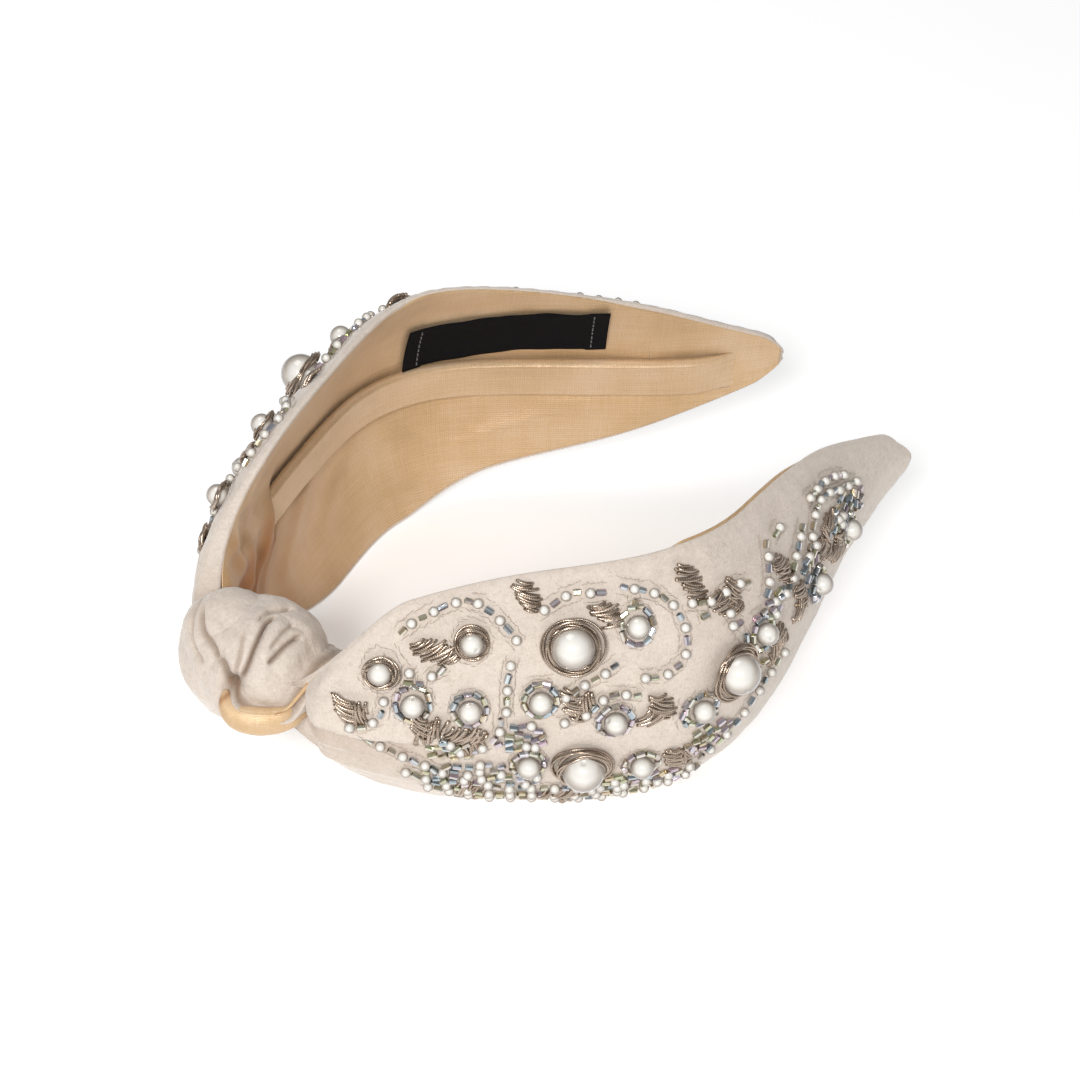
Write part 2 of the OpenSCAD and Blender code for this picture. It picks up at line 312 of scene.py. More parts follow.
def stamp(name, templates, places, angle=None):
    """One smooth mesh from many placed copies of small templates, with a random tint kept for each copy."""
    chance = np.random.default_rng(7)
    points, faces, tints, ridges, base = [], [], [], [], 0
    for k, matrix in enumerate(places):
        template = templates[k % len(templates)].data
        if "ridge" in template.attributes:
            ridges += [item.value for item in template.attributes["ridge"].data]
        points += [matrix @ v.co for v in template.vertices]
        faces += [[base + i for i in p.vertices] for p in template.polygons]
        tints += [chance.random()] * len(template.vertices)
        base += len(template.vertices)
    obj = new_mesh(name, points, faces)
    keep_values(obj, "tint", tints)
    if ridges:
        keep_values(obj, "ridge", ridges)
    for template in templates:
        bpy.data.objects.remove(template)
    smooth(obj, angle)
    return obj


def finish_piece(obj, body, material, slot, *nodes):
    obj.data.materials.clear()
    obj.data.materials.append(material)
    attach(obj, body)
    if nodes:
        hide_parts(*nodes)
    return obj


def loose_parts(node):
    """The separate solids of a CAD node: each one's middle, axes from long to short, and spans."""
    mesh = frame["nodes"][node].data
    points = np.empty(len(mesh.vertices) * 3)
    mesh.vertices.foreach_get("co", points)
    unique, index = np.unique(np.round(points.reshape(-1, 3), 6), axis=0, return_inverse=True)
    index = index.ravel()
    parent = list(range(len(unique)))

    def root(i):
        while parent[i] != i:
            parent[i] = parent[parent[i]]
            i = parent[i]
        return i

    for polygon in mesh.polygons:
        first, *others = [index[v] for v in polygon.vertices]
        for other in others:
            parent[root(other)] = root(first)
    groups = {}
    for i in range(len(unique)):
        groups.setdefault(root(i), []).append(i)
    parts = []
    for members in groups.values():
        own = unique[members]
        axes = np.linalg.eigh(np.cov((own - own.mean(0)).T))[1][:, ::-1].T
        spans = [float(np.ptp(own @ axis)) for axis in axes]
        middle = sum(axis * float((own @ axis).max() + (own @ axis).min()) / 2 for axis in axes)
        parts.append((Vector(middle), [Vector(axis) for axis in axes], spans))
    return sorted(parts, key=lambda part: tuple(part[0]))


def outwards(middle, normal):
    """The normal, turned to point away from the space between the arms."""
    away = Vector((0.3 * middle.x, middle.y, 0))
    return normal if normal.dot(away) > 0 else -normal


def standing(middle, normal, along):
    """Placement with its local Z on the normal and its local X as near to along as that allows."""
    z = normal.normalized()
    x = (along - z * along.dot(z)).normalized()
    return Matrix.Translation(middle) @ Matrix((x, z.cross(x), z)).transposed().to_4x4()


def place_on_face(side, s, z, lift=0.0, spin=0.0):
    """Placement on the velvet: local X along the arm, Y up the face and Z outwards, turned by spin degrees."""
    n = thick_at(s, z) + max(-0.3, velvet_relief(side, s, z)) + lift
    here = arm_point(side, s, z, n)
    along = arm_point(side, s + 0.5, z, n) - here
    return (standing(here, arm_point(side, s, z, n + 1) - here, along)
            @ Matrix.Rotation(math.radians(-spin * SIDES[side]), 4, "Z"))


def seat(side, s, z):
    """Middle of a bead that stands on the face."""
    return place_on_face(side, s, z, 0.6).translation


def face_grid(side):
    """Points all over an arm's outer face, with the station and height of each."""
    spots = [(s, z) for s in range(14, ARM_LEN) for z in range(-29, 31) if edge_gap(s, z) > -1]
    return np.array(spots), np.array([arm_point(side, s, z, thick_at(s, z)) for s, z in spots])


FACES = {side: face_grid(side) for side in SIDES}
LOW_BEADS = -13


def face_spot(side, point):
    """Station and height on an arm's face nearest to a point. The lowest beads are drawn up a little."""
    spots, places = FACES[side]
    near = np.argsort(((places - np.array(point)) ** 2).sum(1))[:4]
    weight = 1 / (np.linalg.norm(places[near] - np.array(point), axis=1) + 1e-5)
    s, z = (spots[near] * weight[:, None]).sum(0) / weight.sum()
    return float(s), float(z if z > LOW_BEADS else LOW_BEADS + 0.66 * (z - LOW_BEADS))


# ---------------------------------------------------------------- shader maths

class Wire:
    """A socket of a material's node tree. Arithmetic on it adds the Math nodes that work it out."""

    def __init__(self, finish, socket):
        self.finish, self.socket = finish, socket

    def _math(self, operation, *values):
        node = self.finish.node("ShaderNodeMath", {"operation": operation},
                                dict(enumerate(v.socket if isinstance(v, Wire) else v for v in values)))
        return Wire(self.finish, node.outputs[0])

    def __add__(self, other):
        return self._math("ADD", self, other)

    def __sub__(self, other):
        return self._math("SUBTRACT", self, other)

    def __rsub__(self, other):
        return self._math("SUBTRACT", other, self)

    def __mul__(self, other):
        return self._math("MULTIPLY", self, other)

    def __pow__(self, other):
        return self._math("POWER", self, other)

    __radd__, __rmul__ = __add__, __mul__

    def sine(self):
        return self._math("SINE", self)

    def step(self, edge, width):
        """0 below the edge and 1 above it, with a smooth change over the width."""
        node = self.finish.node("ShaderNodeMapRange", {"interpolation_type": "SMOOTHSTEP"},
                                {0: self.socket, 1: edge - width / 2, 2: edge + width / 2})
        return Wire(self.finish, node.outputs[0])


class Finish:
    """One procedural material, built up around a Principled shader."""

    def __init__(self, name, roughness=0.6, **constants):
        self.material = bpy.data.materials.new(name)
        self.material.use_nodes = True
        self.tree = self.material.node_tree
        self.tree.nodes.clear()
        output = self.node("ShaderNodeOutputMaterial")
        self.shader = self.node("ShaderNodeBsdfPrincipled", {}, {"Roughness": roughness, **constants})
        self.tree.links.new(self.shader.outputs[0], output.inputs[0])

    def node(self, kind, settings=None, inputs=None):
        node = self.tree.nodes.new(kind)
        for key, value in (settings or {}).items():
            if key == "stops":
                ramp = node.color_ramp
                while len(ramp.elements) < len(value):
                    ramp.elements.new(0.5)
                for element, (at, color) in zip(ramp.elements, value):
                    element.position, element.color = at, (*color, 1)
            else:
                setattr(node, key, value)
        for key, value in (inputs or {}).items():
            value = value.socket if isinstance(value, Wire) else value
            if isinstance(value, bpy.types.NodeSocket):
                self.tree.links.new(value, node.inputs[key])
            elif isinstance(value, tuple) and len(value) == 3 and node.inputs[key].type == "RGBA":
                node.inputs[key].default_value = (*value, 1)
            else:
                node.inputs[key].default_value = value
        return node

    def wire(self, node, output=0):
        return Wire(self, node.outputs[output])

    def object_space(self):
        return self.node("ShaderNodeTexCoord").outputs["Object"]

    def uv(self):
        return self.node("ShaderNodeUVMap").outputs[0]

    def axis(self, socket, index):
        return self.wire(self.node("ShaderNodeSeparateXYZ", {}, {0: socket}), index)

    def stretched(self, socket, scale):
        return self.node("ShaderNodeMapping", {}, {"Vector": socket, "Scale": scale}).outputs[0]

    def noise(self, at, scale, detail=3.0, roughness=0.55):
        node = self.node("ShaderNodeTexNoise", {}, {"Vector": at, "Scale": scale, "Detail": detail,
                                                    "Roughness": roughness})
        return self.wire(node)

    def colors(self, value, *stops):
        return self.node("ShaderNodeValToRGB", {"stops": stops}, {0: value}).outputs[0]

    def mixed(self, factor, first, second):
        return self.node("ShaderNodeMix", {"data_type": "RGBA"}, {0: factor, 6: first, 7: second}).outputs[2]

    def own(self, name):
        """A value kept on the piece's own points."""
        return self.wire(self.node("ShaderNodeAttribute", {"attribute_name": name}), 2)

    def facing(self, blend):
        """0 where the surface faces the eye and 1 at its rim."""
        return self.wire(self.node("ShaderNodeLayerWeight", {}, {"Blend": blend}), 1)

    def with_painted_shade(self, top, color, tone):
        """The top colour with painted shade: it turns to a deeper tone where the piece's own shade attribute marks a
        fold, a crease or a place kept out of the light.
        """
        return self.mixed(self.own("shade"), top, tuple(c * k for c, k in zip(color, tone)))

    def set(self, **inputs):
        for key, value in inputs.items():
            name = key.replace("_", " ")
            socket = value.socket if isinstance(value, Wire) else value
            self.tree.links.new(socket, self.shader.inputs[name])

    def relief(self, height, depth, strength=1.0):
        """Bump from a height of 0 to 1 that is depth metres deep."""
        node = self.node("ShaderNodeBump", {}, {"Height": height, "Distance": depth, "Strength": strength})
        self.tree.links.new(node.outputs[0], self.shader.inputs["Normal"])


def lighter(color, share):
    return tuple(c + (1 - c) * share for c in color)


def darker(color, share):
    return tuple(c * (1 - share) for c in color)


def velvet_finish(color):
    """Short cotton-velvet pile: cloudy shading where it is brushed, and fine fibres that all lean one way, with
    painted shade in its folds, its creases and beside the knot.
    """
    finish = Finish("cream_velvet", 0.92, **{"Sheen Weight": 0.5, "Sheen Roughness": 0.3,
                                             "Specular IOR Level": 0.12})
    at = finish.object_space()
    brushed = finish.noise(finish.stretched(at, (1, 1, 1.8)), 90, 4)
    fibres = finish.noise(finish.stretched(at, (1, 1, 0.3)), 3400, 3, 0.7)
    crossing = finish.noise(finish.stretched(at, (0.35, 0.35, 1)), 2600, 2, 0.6)
    clumps = finish.noise(at, 620, 3)
    shade = brushed * 0.14 + clumps * 0.2 + fibres * 0.4 + crossing * 0.26
    pile = finish.colors(shade, (0.3, darker(color, 0.24)), (0.5, color), (0.7, lighter(color, 0.26)))
    # Painted shade: a deeper warm tone where the piece's shade attribute marks folds, creases and the arm's root
    finish.set(Base_Color=finish.with_painted_shade(pile, color, (0.46, 0.37, 0.3)))
    finish.relief(fibres * 0.4 + crossing * 0.25 + clumps * 0.35, 0.00045, 0.75)
    return finish.material


def slub_satin_finish(name, color, along=0, shine=0.4):
    """Satin with slubs: fine threads both ways, and thicker places that run along the weft, with painted shade where
    the piece marks folds and places kept out of the light.
    """
    finish = Finish(name, shine, **{"Sheen Weight": 0.15, "Sheen Roughness": 0.4})
    at = finish.uv()
    u, v = finish.axis(at, along), finish.axis(at, 1 - along)
    wobble = finish.noise(finish.stretched(at, (0.25, 0.25, 1)), 1.0, 2)
    weft = (v * 13 + wobble * 4).sine() * 0.5 + 0.5
    warp = (u * 13 + wobble * 3).sine() * 0.5 + 0.5
    weave = weft * 0.6 + warp * 0.4
    long_way, cross_way = ((0.06, 2.4, 1), (2.0, 0.09, 1)) if along == 0 else ((2.4, 0.06, 1), (0.09, 2.0, 1))
    slubs = finish.noise(finish.stretched(at, long_way), 1.0, 4, 0.6)
    ribs = finish.noise(finish.stretched(at, cross_way), 1.0, 4, 0.6)
    glint = finish.noise(finish.stretched(at, (2.6, 5.2, 1)), 1.0, 2, 0.7)
    cloud = finish.noise(finish.stretched(at, (0.05, 0.05, 1)), 1.0, 3)
    shade = slubs * 0.15 + ribs * 0.1 + weave * 0.1 + glint * 0.37 + cloud * 0.28
    thread = finish.colors(shade, (0.33, darker(color, 0.34)), (0.5, color), (0.66, lighter(color, 0.34)))
    # Painted shade: a deeper, more saturated gold in the lining's folds and beside the knot
    finish.set(Base_Color=finish.with_painted_shade(thread, color, (0.5, 0.3, 0.18)))
    finish.set(Roughness=0.64 - glint * 0.4)
    finish.set(Metallic=glint.step(0.5, 0.3) * 0.55)
    finish.relief(weave * 0.3 + glint * 0.45 + slubs * 0.15 + ribs * 0.1, 0.00014, 0.7)
    return finish.material


def pearl_finish(color):
    """Lacquered pearl: a soft body with a glassy coat, faintly rose and green towards its edge, where painted shade
    darkens it into a ring.
    """
    finish = Finish("pearl_lacquer", 0.22, **{"Coat Weight": 1.0, "Coat Roughness": 0.05,
                                              "Specular IOR Level": 0.5})
    edge = finish.facing(0.5)
    swirl = finish.noise(finish.object_space(), 420, 2)
    # Painted shade: the body colour darkens into a ring towards the rim, leaving the middle bright
    body_with_rim_shade = finish.colors(edge + swirl * 0.1, (0.06, color), (0.2, darker(color, 0.12)),
                           (0.4, (0.47, 0.42, 0.36)), (0.62, (0.29, 0.25, 0.215)), (0.92, (0.36, 0.33, 0.31)))
    finish.set(Base_Color=body_with_rim_shade)
    finish.set(Roughness=0.14 + swirl * 0.14)
    return finish.material


def cut_glass_finish():
    """Silver-lined cut glass with a thin coloured film that differs from bead to bead, and painted highlight streaks
    along each bead.
    """
    finish = Finish("cut_glass", 0.12, **{"Coat Weight": 1.0, "Coat Roughness": 0.03, "IOR": 1.52})
    tint = finish.own("tint")
    edge = finish.facing(0.4)
    ripple = finish.noise(finish.object_space(), 1500, 2)
    film = finish.colors(tint * 0.8 + edge * 0.25 + ripple * 0.2 - 0.1,
                         (0.0, (0.10, 0.095, 0.09)), (0.2, (0.36, 0.45, 0.50)), (0.4, (0.55, 0.40, 0.47)),
                         (0.58, (0.42, 0.46, 0.28)), (0.75, (0.6, 0.47, 0.31)), (0.92, (0.20, 0.22, 0.26)))
    highlight_streak = finish.own("ridge")
    # Painted highlight: near-white streaks mixed into the colour along each bead's sides
    finish.set(Base_Color=finish.mixed(highlight_streak ** 1.6 * 0.8, film, (0.86, 0.87, 0.87)))
    finish.set(Metallic=0.65 + ripple * 0.35)
    finish.set(Roughness=0.05 + ripple * 0.16)
    return finish.material


def bullion_finish(color):
    """Tarnished metal wire, with painted shade in the grooves between its turns."""
    finish = Finish("bullion_wire", 0.3)
    tint = finish.own("tint")
    tarnish = finish.noise(finish.object_space(), 900, 3)
    groove = finish.own("ridge")
    # Painted shade: darker colour in the coil's grooves, lighter on its ridges
    shade = groove * 0.55 + tarnish * 0.3 + tint * 0.15
    finish.set(Base_Color=finish.colors(shade, (0.2, darker(color, 0.78)), (0.52, color),
                                        (0.85, lighter(color, 0.45))))
    finish.set(Metallic=0.75 + tarnish * 0.25)
    finish.set(Roughness=0.14 + tarnish * 0.2)
    return finish.material


def thread_finish(name, color):
    """Twisted thread, with its ply showing as slanting lines."""
    finish = Finish(name, 0.65, **{"Sheen Weight": 0.2})
    at = finish.object_space()
    x, y, z = (finish.axis(at, k) for k in range(3))
    ply = ((x + y + z * 1.7) * 9000).sine() * 0.5 + 0.5
    fuzz = finish.noise(at, 3000, 2)
    finish.set(Base_Color=finish.colors(ply * 0.6 + fuzz * 0.4, (0.2, darker(color, 0.4)),
                                        (0.8, lighter(color, 0.25))))
    finish.relief(ply, 0.0001, 0.7)
    return finish.material


def label_finish(color):
    """Close black damask weave with a slight lustre."""
    finish = Finish("label_weave", 0.7, **{"Specular IOR Level": 0.04})
    at = finish.uv()
    u, v = finish.axis(at, 0), finish.axis(at, 1)
    weave = (u * 16).sine() * 0.5 * (v * 16).sine() + 0.5
    twill = ((u + v) * 9).sine() * 0.5 + 0.5
    lint = finish.noise(finish.stretched(at, (0.8, 0.8, 1)), 1.0, 4)
    finish.set(Base_Color=finish.colors(weave * 0.45 + twill * 0.25 + lint * 0.3, (0.2, darker(color, 0.5)),
                                        (0.85, lighter(color, 0.008))))
    finish.set(Roughness=0.55 + lint * 0.25)
    finish.relief(weave * 0.7 + twill * 0.3, 0.00012, 0.7)
    return finish.material


def foam_finish():
    """Open-cell foam and wadding."""
    finish = Finish("foam", 0.95)
    cells = finish.wire(finish.node("ShaderNodeTexVoronoi", {}, {"Vector": finish.object_space(), "Scale": 1500}))
    finish.set(Base_Color=finish.colors(cells, (0.1, (0.72, 0.70, 0.64)), (0.7, (0.88, 0.87, 0.82))))
    finish.relief(cells, 0.0004)
    return finish.material


def plastic_finish():
    """Moulded natural plastic with faint flow marks."""
    finish = Finish("band_plastic", 0.42)
    flow = finish.noise(finish.stretched(finish.object_space(), (1, 1, 6)), 160, 3)
    finish.set(Base_Color=finish.colors(flow, (0.3, (0.66, 0.63, 0.55)), (0.7, (0.78, 0.75, 0.68))))
    finish.set(Roughness=0.36 + flow * 0.15)
    finish.relief(flow, 0.0001, 0.3)
    return finish.material


def floor_finish():
    finish = Finish("studio_floor", 0.9, **{"Emission Color": (1, 1, 1, 1), "Emission Strength": 0.29})
    haze = finish.noise(finish.object_space(), 3, 2)
    finish.set(Base_Color=finish.colors(haze, (0.3, (0.90, 0.90, 0.90)), (0.7, (0.93, 0.93, 0.93))))
    return finish.material


# ---------------------------------------------------------------- settings

class HeadbandSizes(bpy.types.PropertyGroup):
    """Sizes that a maker would change."""
    hem_roll: bpy.props.FloatProperty(
        name="Hem roll", description="Width of the rounded velvet edge", default=0.8 * MM, unit="LENGTH")
    pucker: bpy.props.FloatProperty(
        name="Pucker", description="Depth of the puckers along the hems", default=0.07 * MM, unit="LENGTH")
    gather: bpy.props.FloatProperty(
        name="Gather", description="Depth of the gathers beside the knot", default=0.6 * MM, unit="LENGTH")
    lining_fold: bpy.props.FloatProperty(
        name="Lining folds", description="Depth of the loose folds in the lining", default=1.1 * MM, unit="LENGTH")
    coil_pitch: bpy.props.FloatProperty(
        name="Coil pitch", description="Distance between turns of the coiled wire", default=0.42 * MM, unit="LENGTH")


class HeadbandColors(bpy.types.PropertyGroup):
    """Colours that a maker would change."""
    velvet: bpy.props.FloatVectorProperty(
        name="Velvet", description="Colour of the velvet", subtype="COLOR", default=(0.675, 0.585, 0.505))
    lining: bpy.props.FloatVectorProperty(
        name="Lining", description="Colour of the satin lining", subtype="COLOR", default=(0.655, 0.44, 0.235))
    pearl: bpy.props.FloatVectorProperty(
        name="Pearl", description="Body colour of the pearls", subtype="COLOR", default=(0.83, 0.80, 0.745))
    wire: bpy.props.FloatVectorProperty(
        name="Wire", description="Colour of the coiled wire", subtype="COLOR", default=(0.45, 0.345, 0.26))
    thread: bpy.props.FloatVectorProperty(
        name="Thread", description="Colour of the outline thread", subtype="COLOR", default=(0.49, 0.37, 0.275))
    label: bpy.props.FloatVectorProperty(
        name="Label", description="Colour of the woven label", subtype="COLOR", default=(0.006, 0.006, 0.007))


def sizes():
    return bpy.context.scene.headband_sizes


def color_of(name):
    return tuple(getattr(bpy.context.scene.headband_colors, name))


MATERIALS = {}


def material(name):
    """Each finish is made once, when the first piece asks for it."""
    makers = {
        "velvet": lambda: velvet_finish(color_of("velvet")),
        "lining": lambda: slub_satin_finish("gold_lining", color_of("lining")),
        "tape": lambda: slub_satin_finish("gold_tape", lighter(color_of("lining"), 0.05)),
        "pearl": lambda: pearl_finish(color_of("pearl")),
        "glass": cut_glass_finish,
        "bullion": lambda: bullion_finish(color_of("wire")),
        "thread": lambda: thread_finish("outline_thread", color_of("thread")),
        "gold_thread": lambda: thread_finish("gold_thread", color_of("lining")),
        "dark_thread": lambda: thread_finish("label_thread", lighter(color_of("label"), 0.01)),
        "label": lambda: label_finish(color_of("label")),
        "foam": foam_finish,
        "plastic": plastic_finish,
        "floor": floor_finish,
    }
    if name not in MATERIALS:
        MATERIALS[name] = makers[name]()
    return MATERIALS[name]


# ---------------------------------------------------------------- pieces

def fold_over(side, s, z):
    """Height above the fold that runs out from the knot, and how strong the fold is there."""
    over = z - FOLD_Z + 0.1 * (s - 18) + 0.5 * soft_noise(s / 6, 3.3)
    return over, (ease((52 - s) / 26) * ease((s - 15) / 4) if side == "right" else 0)


def velvet_painted_shade(side, s, z):
    """How much painted shade the velvet gets at a place, from 0 to 1: under the fold beside the knot, and at the
    arm's root.
    """
    over, fold_here = fold_over(side, s, z)
    # Painted shade under the fold's ledge and on the lower flap below it
    under = math.exp(-((over + 0.7) / 0.8) ** 2) + 0.45 * ease(-over) * math.exp(-(over / 9) ** 2)
    return min(1, 0.8 * fold_here * under + 0.5 * math.exp(-((s - 12) / 4) ** 2))


def velvet_relief(side, s, z):
    """How far the velvet stands out or dips at a place on an arm's face, in millimetres."""
    settings = sizes()
    near_knot = math.exp(-(s - 14) / 13)
    fan = z / (0.35 + 0.02 * s) * 0.55
    waves = 0.6 * math.sin(1.9 * fan + 0.8) + 0.4 * math.sin(3.7 * fan)
    gathers = settings.gather / MM * near_knot * waves
    over, fold_here = fold_over(side, s, z)
    ledge = fold_here * (2.7 * ease((over + 0.3) / 0.55) * math.exp(-(max(0, over) / 8) ** 2)
                         - 0.8 * bump(over + 1.2, 2))
    root = -3.9 * ease((21.5 - s) / 5.5) if side == "right" else 1.0 * ease((30 - s) / 14)
    to_edge = edge_gap(s, z)
    pucker = settings.pucker / MM * math.sin(s * 1.25 + 2.2 * soft_noise(s / 9, z / 30)) * bump(to_edge, 4)
    drift = 0.35 * soft_noise(s / 13, z / 9, 3.7) + 0.14 * soft_noise(s / 4, z / 4, 9.1)
    calm = ease(to_edge / 3)
    if side == "left":
        gathers *= 0.3
    return (gathers + ledge + drift) * calm + root + pucker * ease((s - 20) / 20)


def velvet_arm(side):
    """Padded outer face of one arm, wrapped round its edges to the lining's seam."""
    roll = sizes().hem_roll / MM
    dips = [(part[0], part[2][0] / 2) for node in ("large_pearls", "medium_pearls")
            for part in loose_parts(f"{side}_{node}")]
    rows, shades = [], []
    for s in spaced(VELVET_START, ARM_LEN - 0.1, 260):
        middle, half = face_span(s)
        high, low = middle + max(half - roll, 0.15), middle - max(half - roll, 0.15)
        outer = [(z, max(0.55, thick_at(s, z) + velvet_relief(side, s, z))) for z in spaced(low, high, FACE_STEPS)]
        turn = [(roll * math.sin(math.pi * k / 6), EDGE_THICK / 2 * (1 + math.cos(math.pi * k / 6)) - 0.05)
                for k in range(1, 7)]
        round_top = [(high + out, n) for out, n in turn]
        round_bottom = [(low - out, n) for out, n in reversed(turn)]
        inner = [(z, 0.43) for z in spaced(high - 0.1, low + 0.1, 8)]
        ring = outer + round_top + inner + round_bottom
        rows.append([arm_point(side, s, z, n) for z, n in ring])
        shades += [velvet_painted_shade(side, s, z) for z, _ in ring]
    for row in rows:
        for k in range(FACE_STEPS + 1):
            point = row[k]
            for middle, radius in dips:
                distance = (point - middle).length
                if distance < 4 * radius:
                    sink = 0.45 * MM * bump((distance - radius) / radius, 0.9)
                    row[k] = point - outwards(middle, Vector((0, middle.y, 0))).normalized() * sink
                    break
    obj = closed_skin(f"velvet_{side}_arm", rows)
    # Painted shade for each point, which the velvet's finish turns into a deeper tone
    keep_values(obj, "shade", shades)
    smooth(obj)
    finish_piece(obj, f"{side}_arm", material("velvet"), "velvet", f"{side}_velvet")
    return obj


# Loose folds across the lining: station, height, lean from upright in degrees, half length and depth
LINING_FOLDS = [(27, -4, 24, 11, 2.2), (36, -7, 38, 13, 2.4), (46, -6, 48, 13, 1.7), (58, -10, 56, 12, 1.1),
                (24, 9, -10, 9, 1.6), (33, 11, -34, 9, 1.0), (72, -14, 62, 12, 0.7), (118, -13, 72, 14, 0.5)]


def along_fold(s, z, at_s, at_z, lean):
    """Distances along and across a fold, from its middle."""
    angle, u, v = math.radians(lean), s - at_s, z - at_z
    return u * math.sin(angle) + v * math.cos(angle), u * math.cos(angle) - v * math.sin(angle)


def lining_fold(s, z):
    """How far the lining stands in from the arm's inner face, in millimetres."""
    to_edge = edge_gap(s, z)
    off_tape = max(ease((abs(z) - 4.4) / 3), ease((50 - s) / 8))
    over_band = 2.5 * ease((50 - s) / 8) * math.exp(-(z / 6.5) ** 4)
    near_knot = math.exp(-(s - 14) / 22)
    swing = z * 0.42 / (0.5 + 0.012 * s) + 1.2 * soft_noise(s / 18, z / 16)
    folds = 0.6 * near_knot * (0.5 + 0.5 * math.sin(swing * 1.7 + 0.6))
    for at_s, at_z, lean, half, deep in LINING_FOLDS:
        run, across = along_fold(s, z, at_s, at_z, lean)
        across += 0.9 * soft_noise(run / 7, at_s)
        folds += (deep * sizes().lining_fold / MM * bump(run, half)
                  * ease((across + 4) / 4.6) * math.exp(-(max(0, across) / 3.4)))
    drift = 0.6 * (0.5 + 0.5 * soft_noise(s / 16 + 5, z / 8 + s / 30, 1.3))
    small = 0.1 * (0.5 + 0.5 * soft_noise(s / 3.5, z / 5, 8.2))
    over_band += 0.4 * bump(s - FOAM_END, 5)
    return (folds + drift) * off_tape * ease(to_edge / 5) + over_band * ease(to_edge / 2) + small * ease(to_edge / 2)


def lining_painted_shade(s, share):
    """How much painted shade the lining gets at a place, from 0 to 1: in patches beside the knot, which keeps light
    off it, and in its folds.
    """
    z = -bottom_at(s) + (top_at(s) + bottom_at(s)) * share
    patchy = 0.85 + 0.5 * soft_noise(s / 8, z / 7)
    # Painted shade beside the knot, where the knot keeps light off the lining
    deep = 0.85 * math.exp(-((s - 16) / 38) ** 2) * ease((11 - z) / 14) * patchy
    for at_s, at_z, lean, half, depth in LINING_FOLDS:
        run, across = along_fold(s, z, at_s, at_z, lean)
        deep += 0.2 * depth * bump(run, half) * math.exp(-((across + 1.2) / 1.9) ** 2)
    return max(0, min(deep, 0.9))


def lining_arm(side):
    """Satin lining of one arm, sewn along both edges and loose between the edges and the tape."""
    us, vs = spaced(LINING_START, ARM_LEN - 0.9, 330), spaced(0, 1, 90)

    def place(s, share):
        middle, half = face_span(s)
        half = max(half - 0.5, 0.3)
        lip = 0.85 * ease((s - 84) / 10) * ease((146 - s) / 16) * ease((share - 0.97) / 0.03)
        z = middle + half * (2 * share - 1)
        return arm_point(side, s, z + lip, 0.1 - lining_fold(s, z))

    obj = cloth_grid(f"lining_{side}_arm", us, vs, place, 0.28, lining_painted_shade)
    spread_uv(obj, side)
    finish_piece(obj, f"{side}_arm", material("lining"), "lining", f"{side}_lining")
    width = max(top_at(s) + bottom_at(s) for s in us)
    area = sum(top_at(s) + bottom_at(s) - 1 for s in us) * (us[1] - us[0]) * MM * MM
    (width + 4) * MM
    (us[-1] - us[0]) * MM
    area * 1.05
    return obj


def spread_uv(obj, side):
    """Turns a UV of station and share into millimetres along and up the face."""
    for loop in obj.data.uv_layers[0].data:
        s, share = loop.uv
        height = top_at(s) + bottom_at(s)
        loop.uv = (s + (40 if side == "right" else 0), height * share - bottom_at(s))


TAPE_HALF = 4.6


def tape_section(s):
    """Half width of the tape at a station, and how far it stands in over the band."""
    half = max(0.8, min(TAPE_HALF, top_at(s) - 1.2, bottom_at(s) - 0.6))
    return half, 2.15 - 2.05 * ease((s - 157) / 10) - 1.2 * ease((46 - s) / 6)


def tape_arm(side):
    """Satin tape that covers the band, with both edges sewn down."""
    us, vs = spaced(TAPE_START, TAPE_END, 150), spaced(-1, 1, 28)

    def place(s, share):
        half, rise_n = tape_section(s)
        shoulder = ease((1.06 - abs(share)) / 0.24)
        wave = 0.1 * soft_noise(s / 5, share * 2, 4.4) + 0.06 * math.sin(s * 1.9) * (1 - shoulder)
        z = half * share + 0.12 * soft_noise(s / 8, 1.5, 2.2)
        rise = (rise_n + wave * ease((168 - s) / 9)) * shoulder
        return arm_point(side, s, z, -0.42 + 0.8 * ease((s - 162) / 8) - rise)

    obj = cloth_grid(f"tape_{side}_arm", us, vs, place, 0.22)
    for loop in obj.data.uv_layers[0].data:
        loop.uv = (loop.uv[0] + 90, loop.uv[1] * TAPE_HALF)
    finish_piece(obj, f"{side}_arm", material("tape"), "tape", f"{side}_tape")
    (us[-1] - us[0]) * MM
    return obj


def tape_stitches(side):
    """Rows of small stitches along both edges of the tape."""
    stitch = thread_stitch(1.7, 0.16)
    places = []
    for edge in (-1, 1):
        for s in spaced(50, 164, 50):
            half, _ = tape_section(s)
            z = edge * (half - 0.35)
            a, b = arm_point(side, s, z, -0.62), arm_point(side, s + 1, z, -0.62)
            normal = arm_point(side, s, z, -1) - arm_point(side, s, z, 0)
            places.append(standing(a, normal, b - a))
    obj = stamp(f"tape_stitches_{side}_arm", [stitch], places)
    return finish_piece(obj, f"{side}_arm", material("gold_thread"), "thread")


def thread_stitch(length, radius):
    """One short stitch that arches up and dives into the cloth at both ends, along X."""
    rows = []
    for t in spaced(0, 1, 5):
        arch = radius * (2.4 * math.sin(math.pi * t) - 1.2)
        size = radius * (0.55 + 0.45 * math.sin(math.pi * t))
        rows.append([Vector(((t - 0.5) * length, size * math.cos(a), arch + size * math.sin(a))) * MM
                     for a in (math.tau * k / 6 for k in range(6))])
    return closed_skin("stitch", rows)


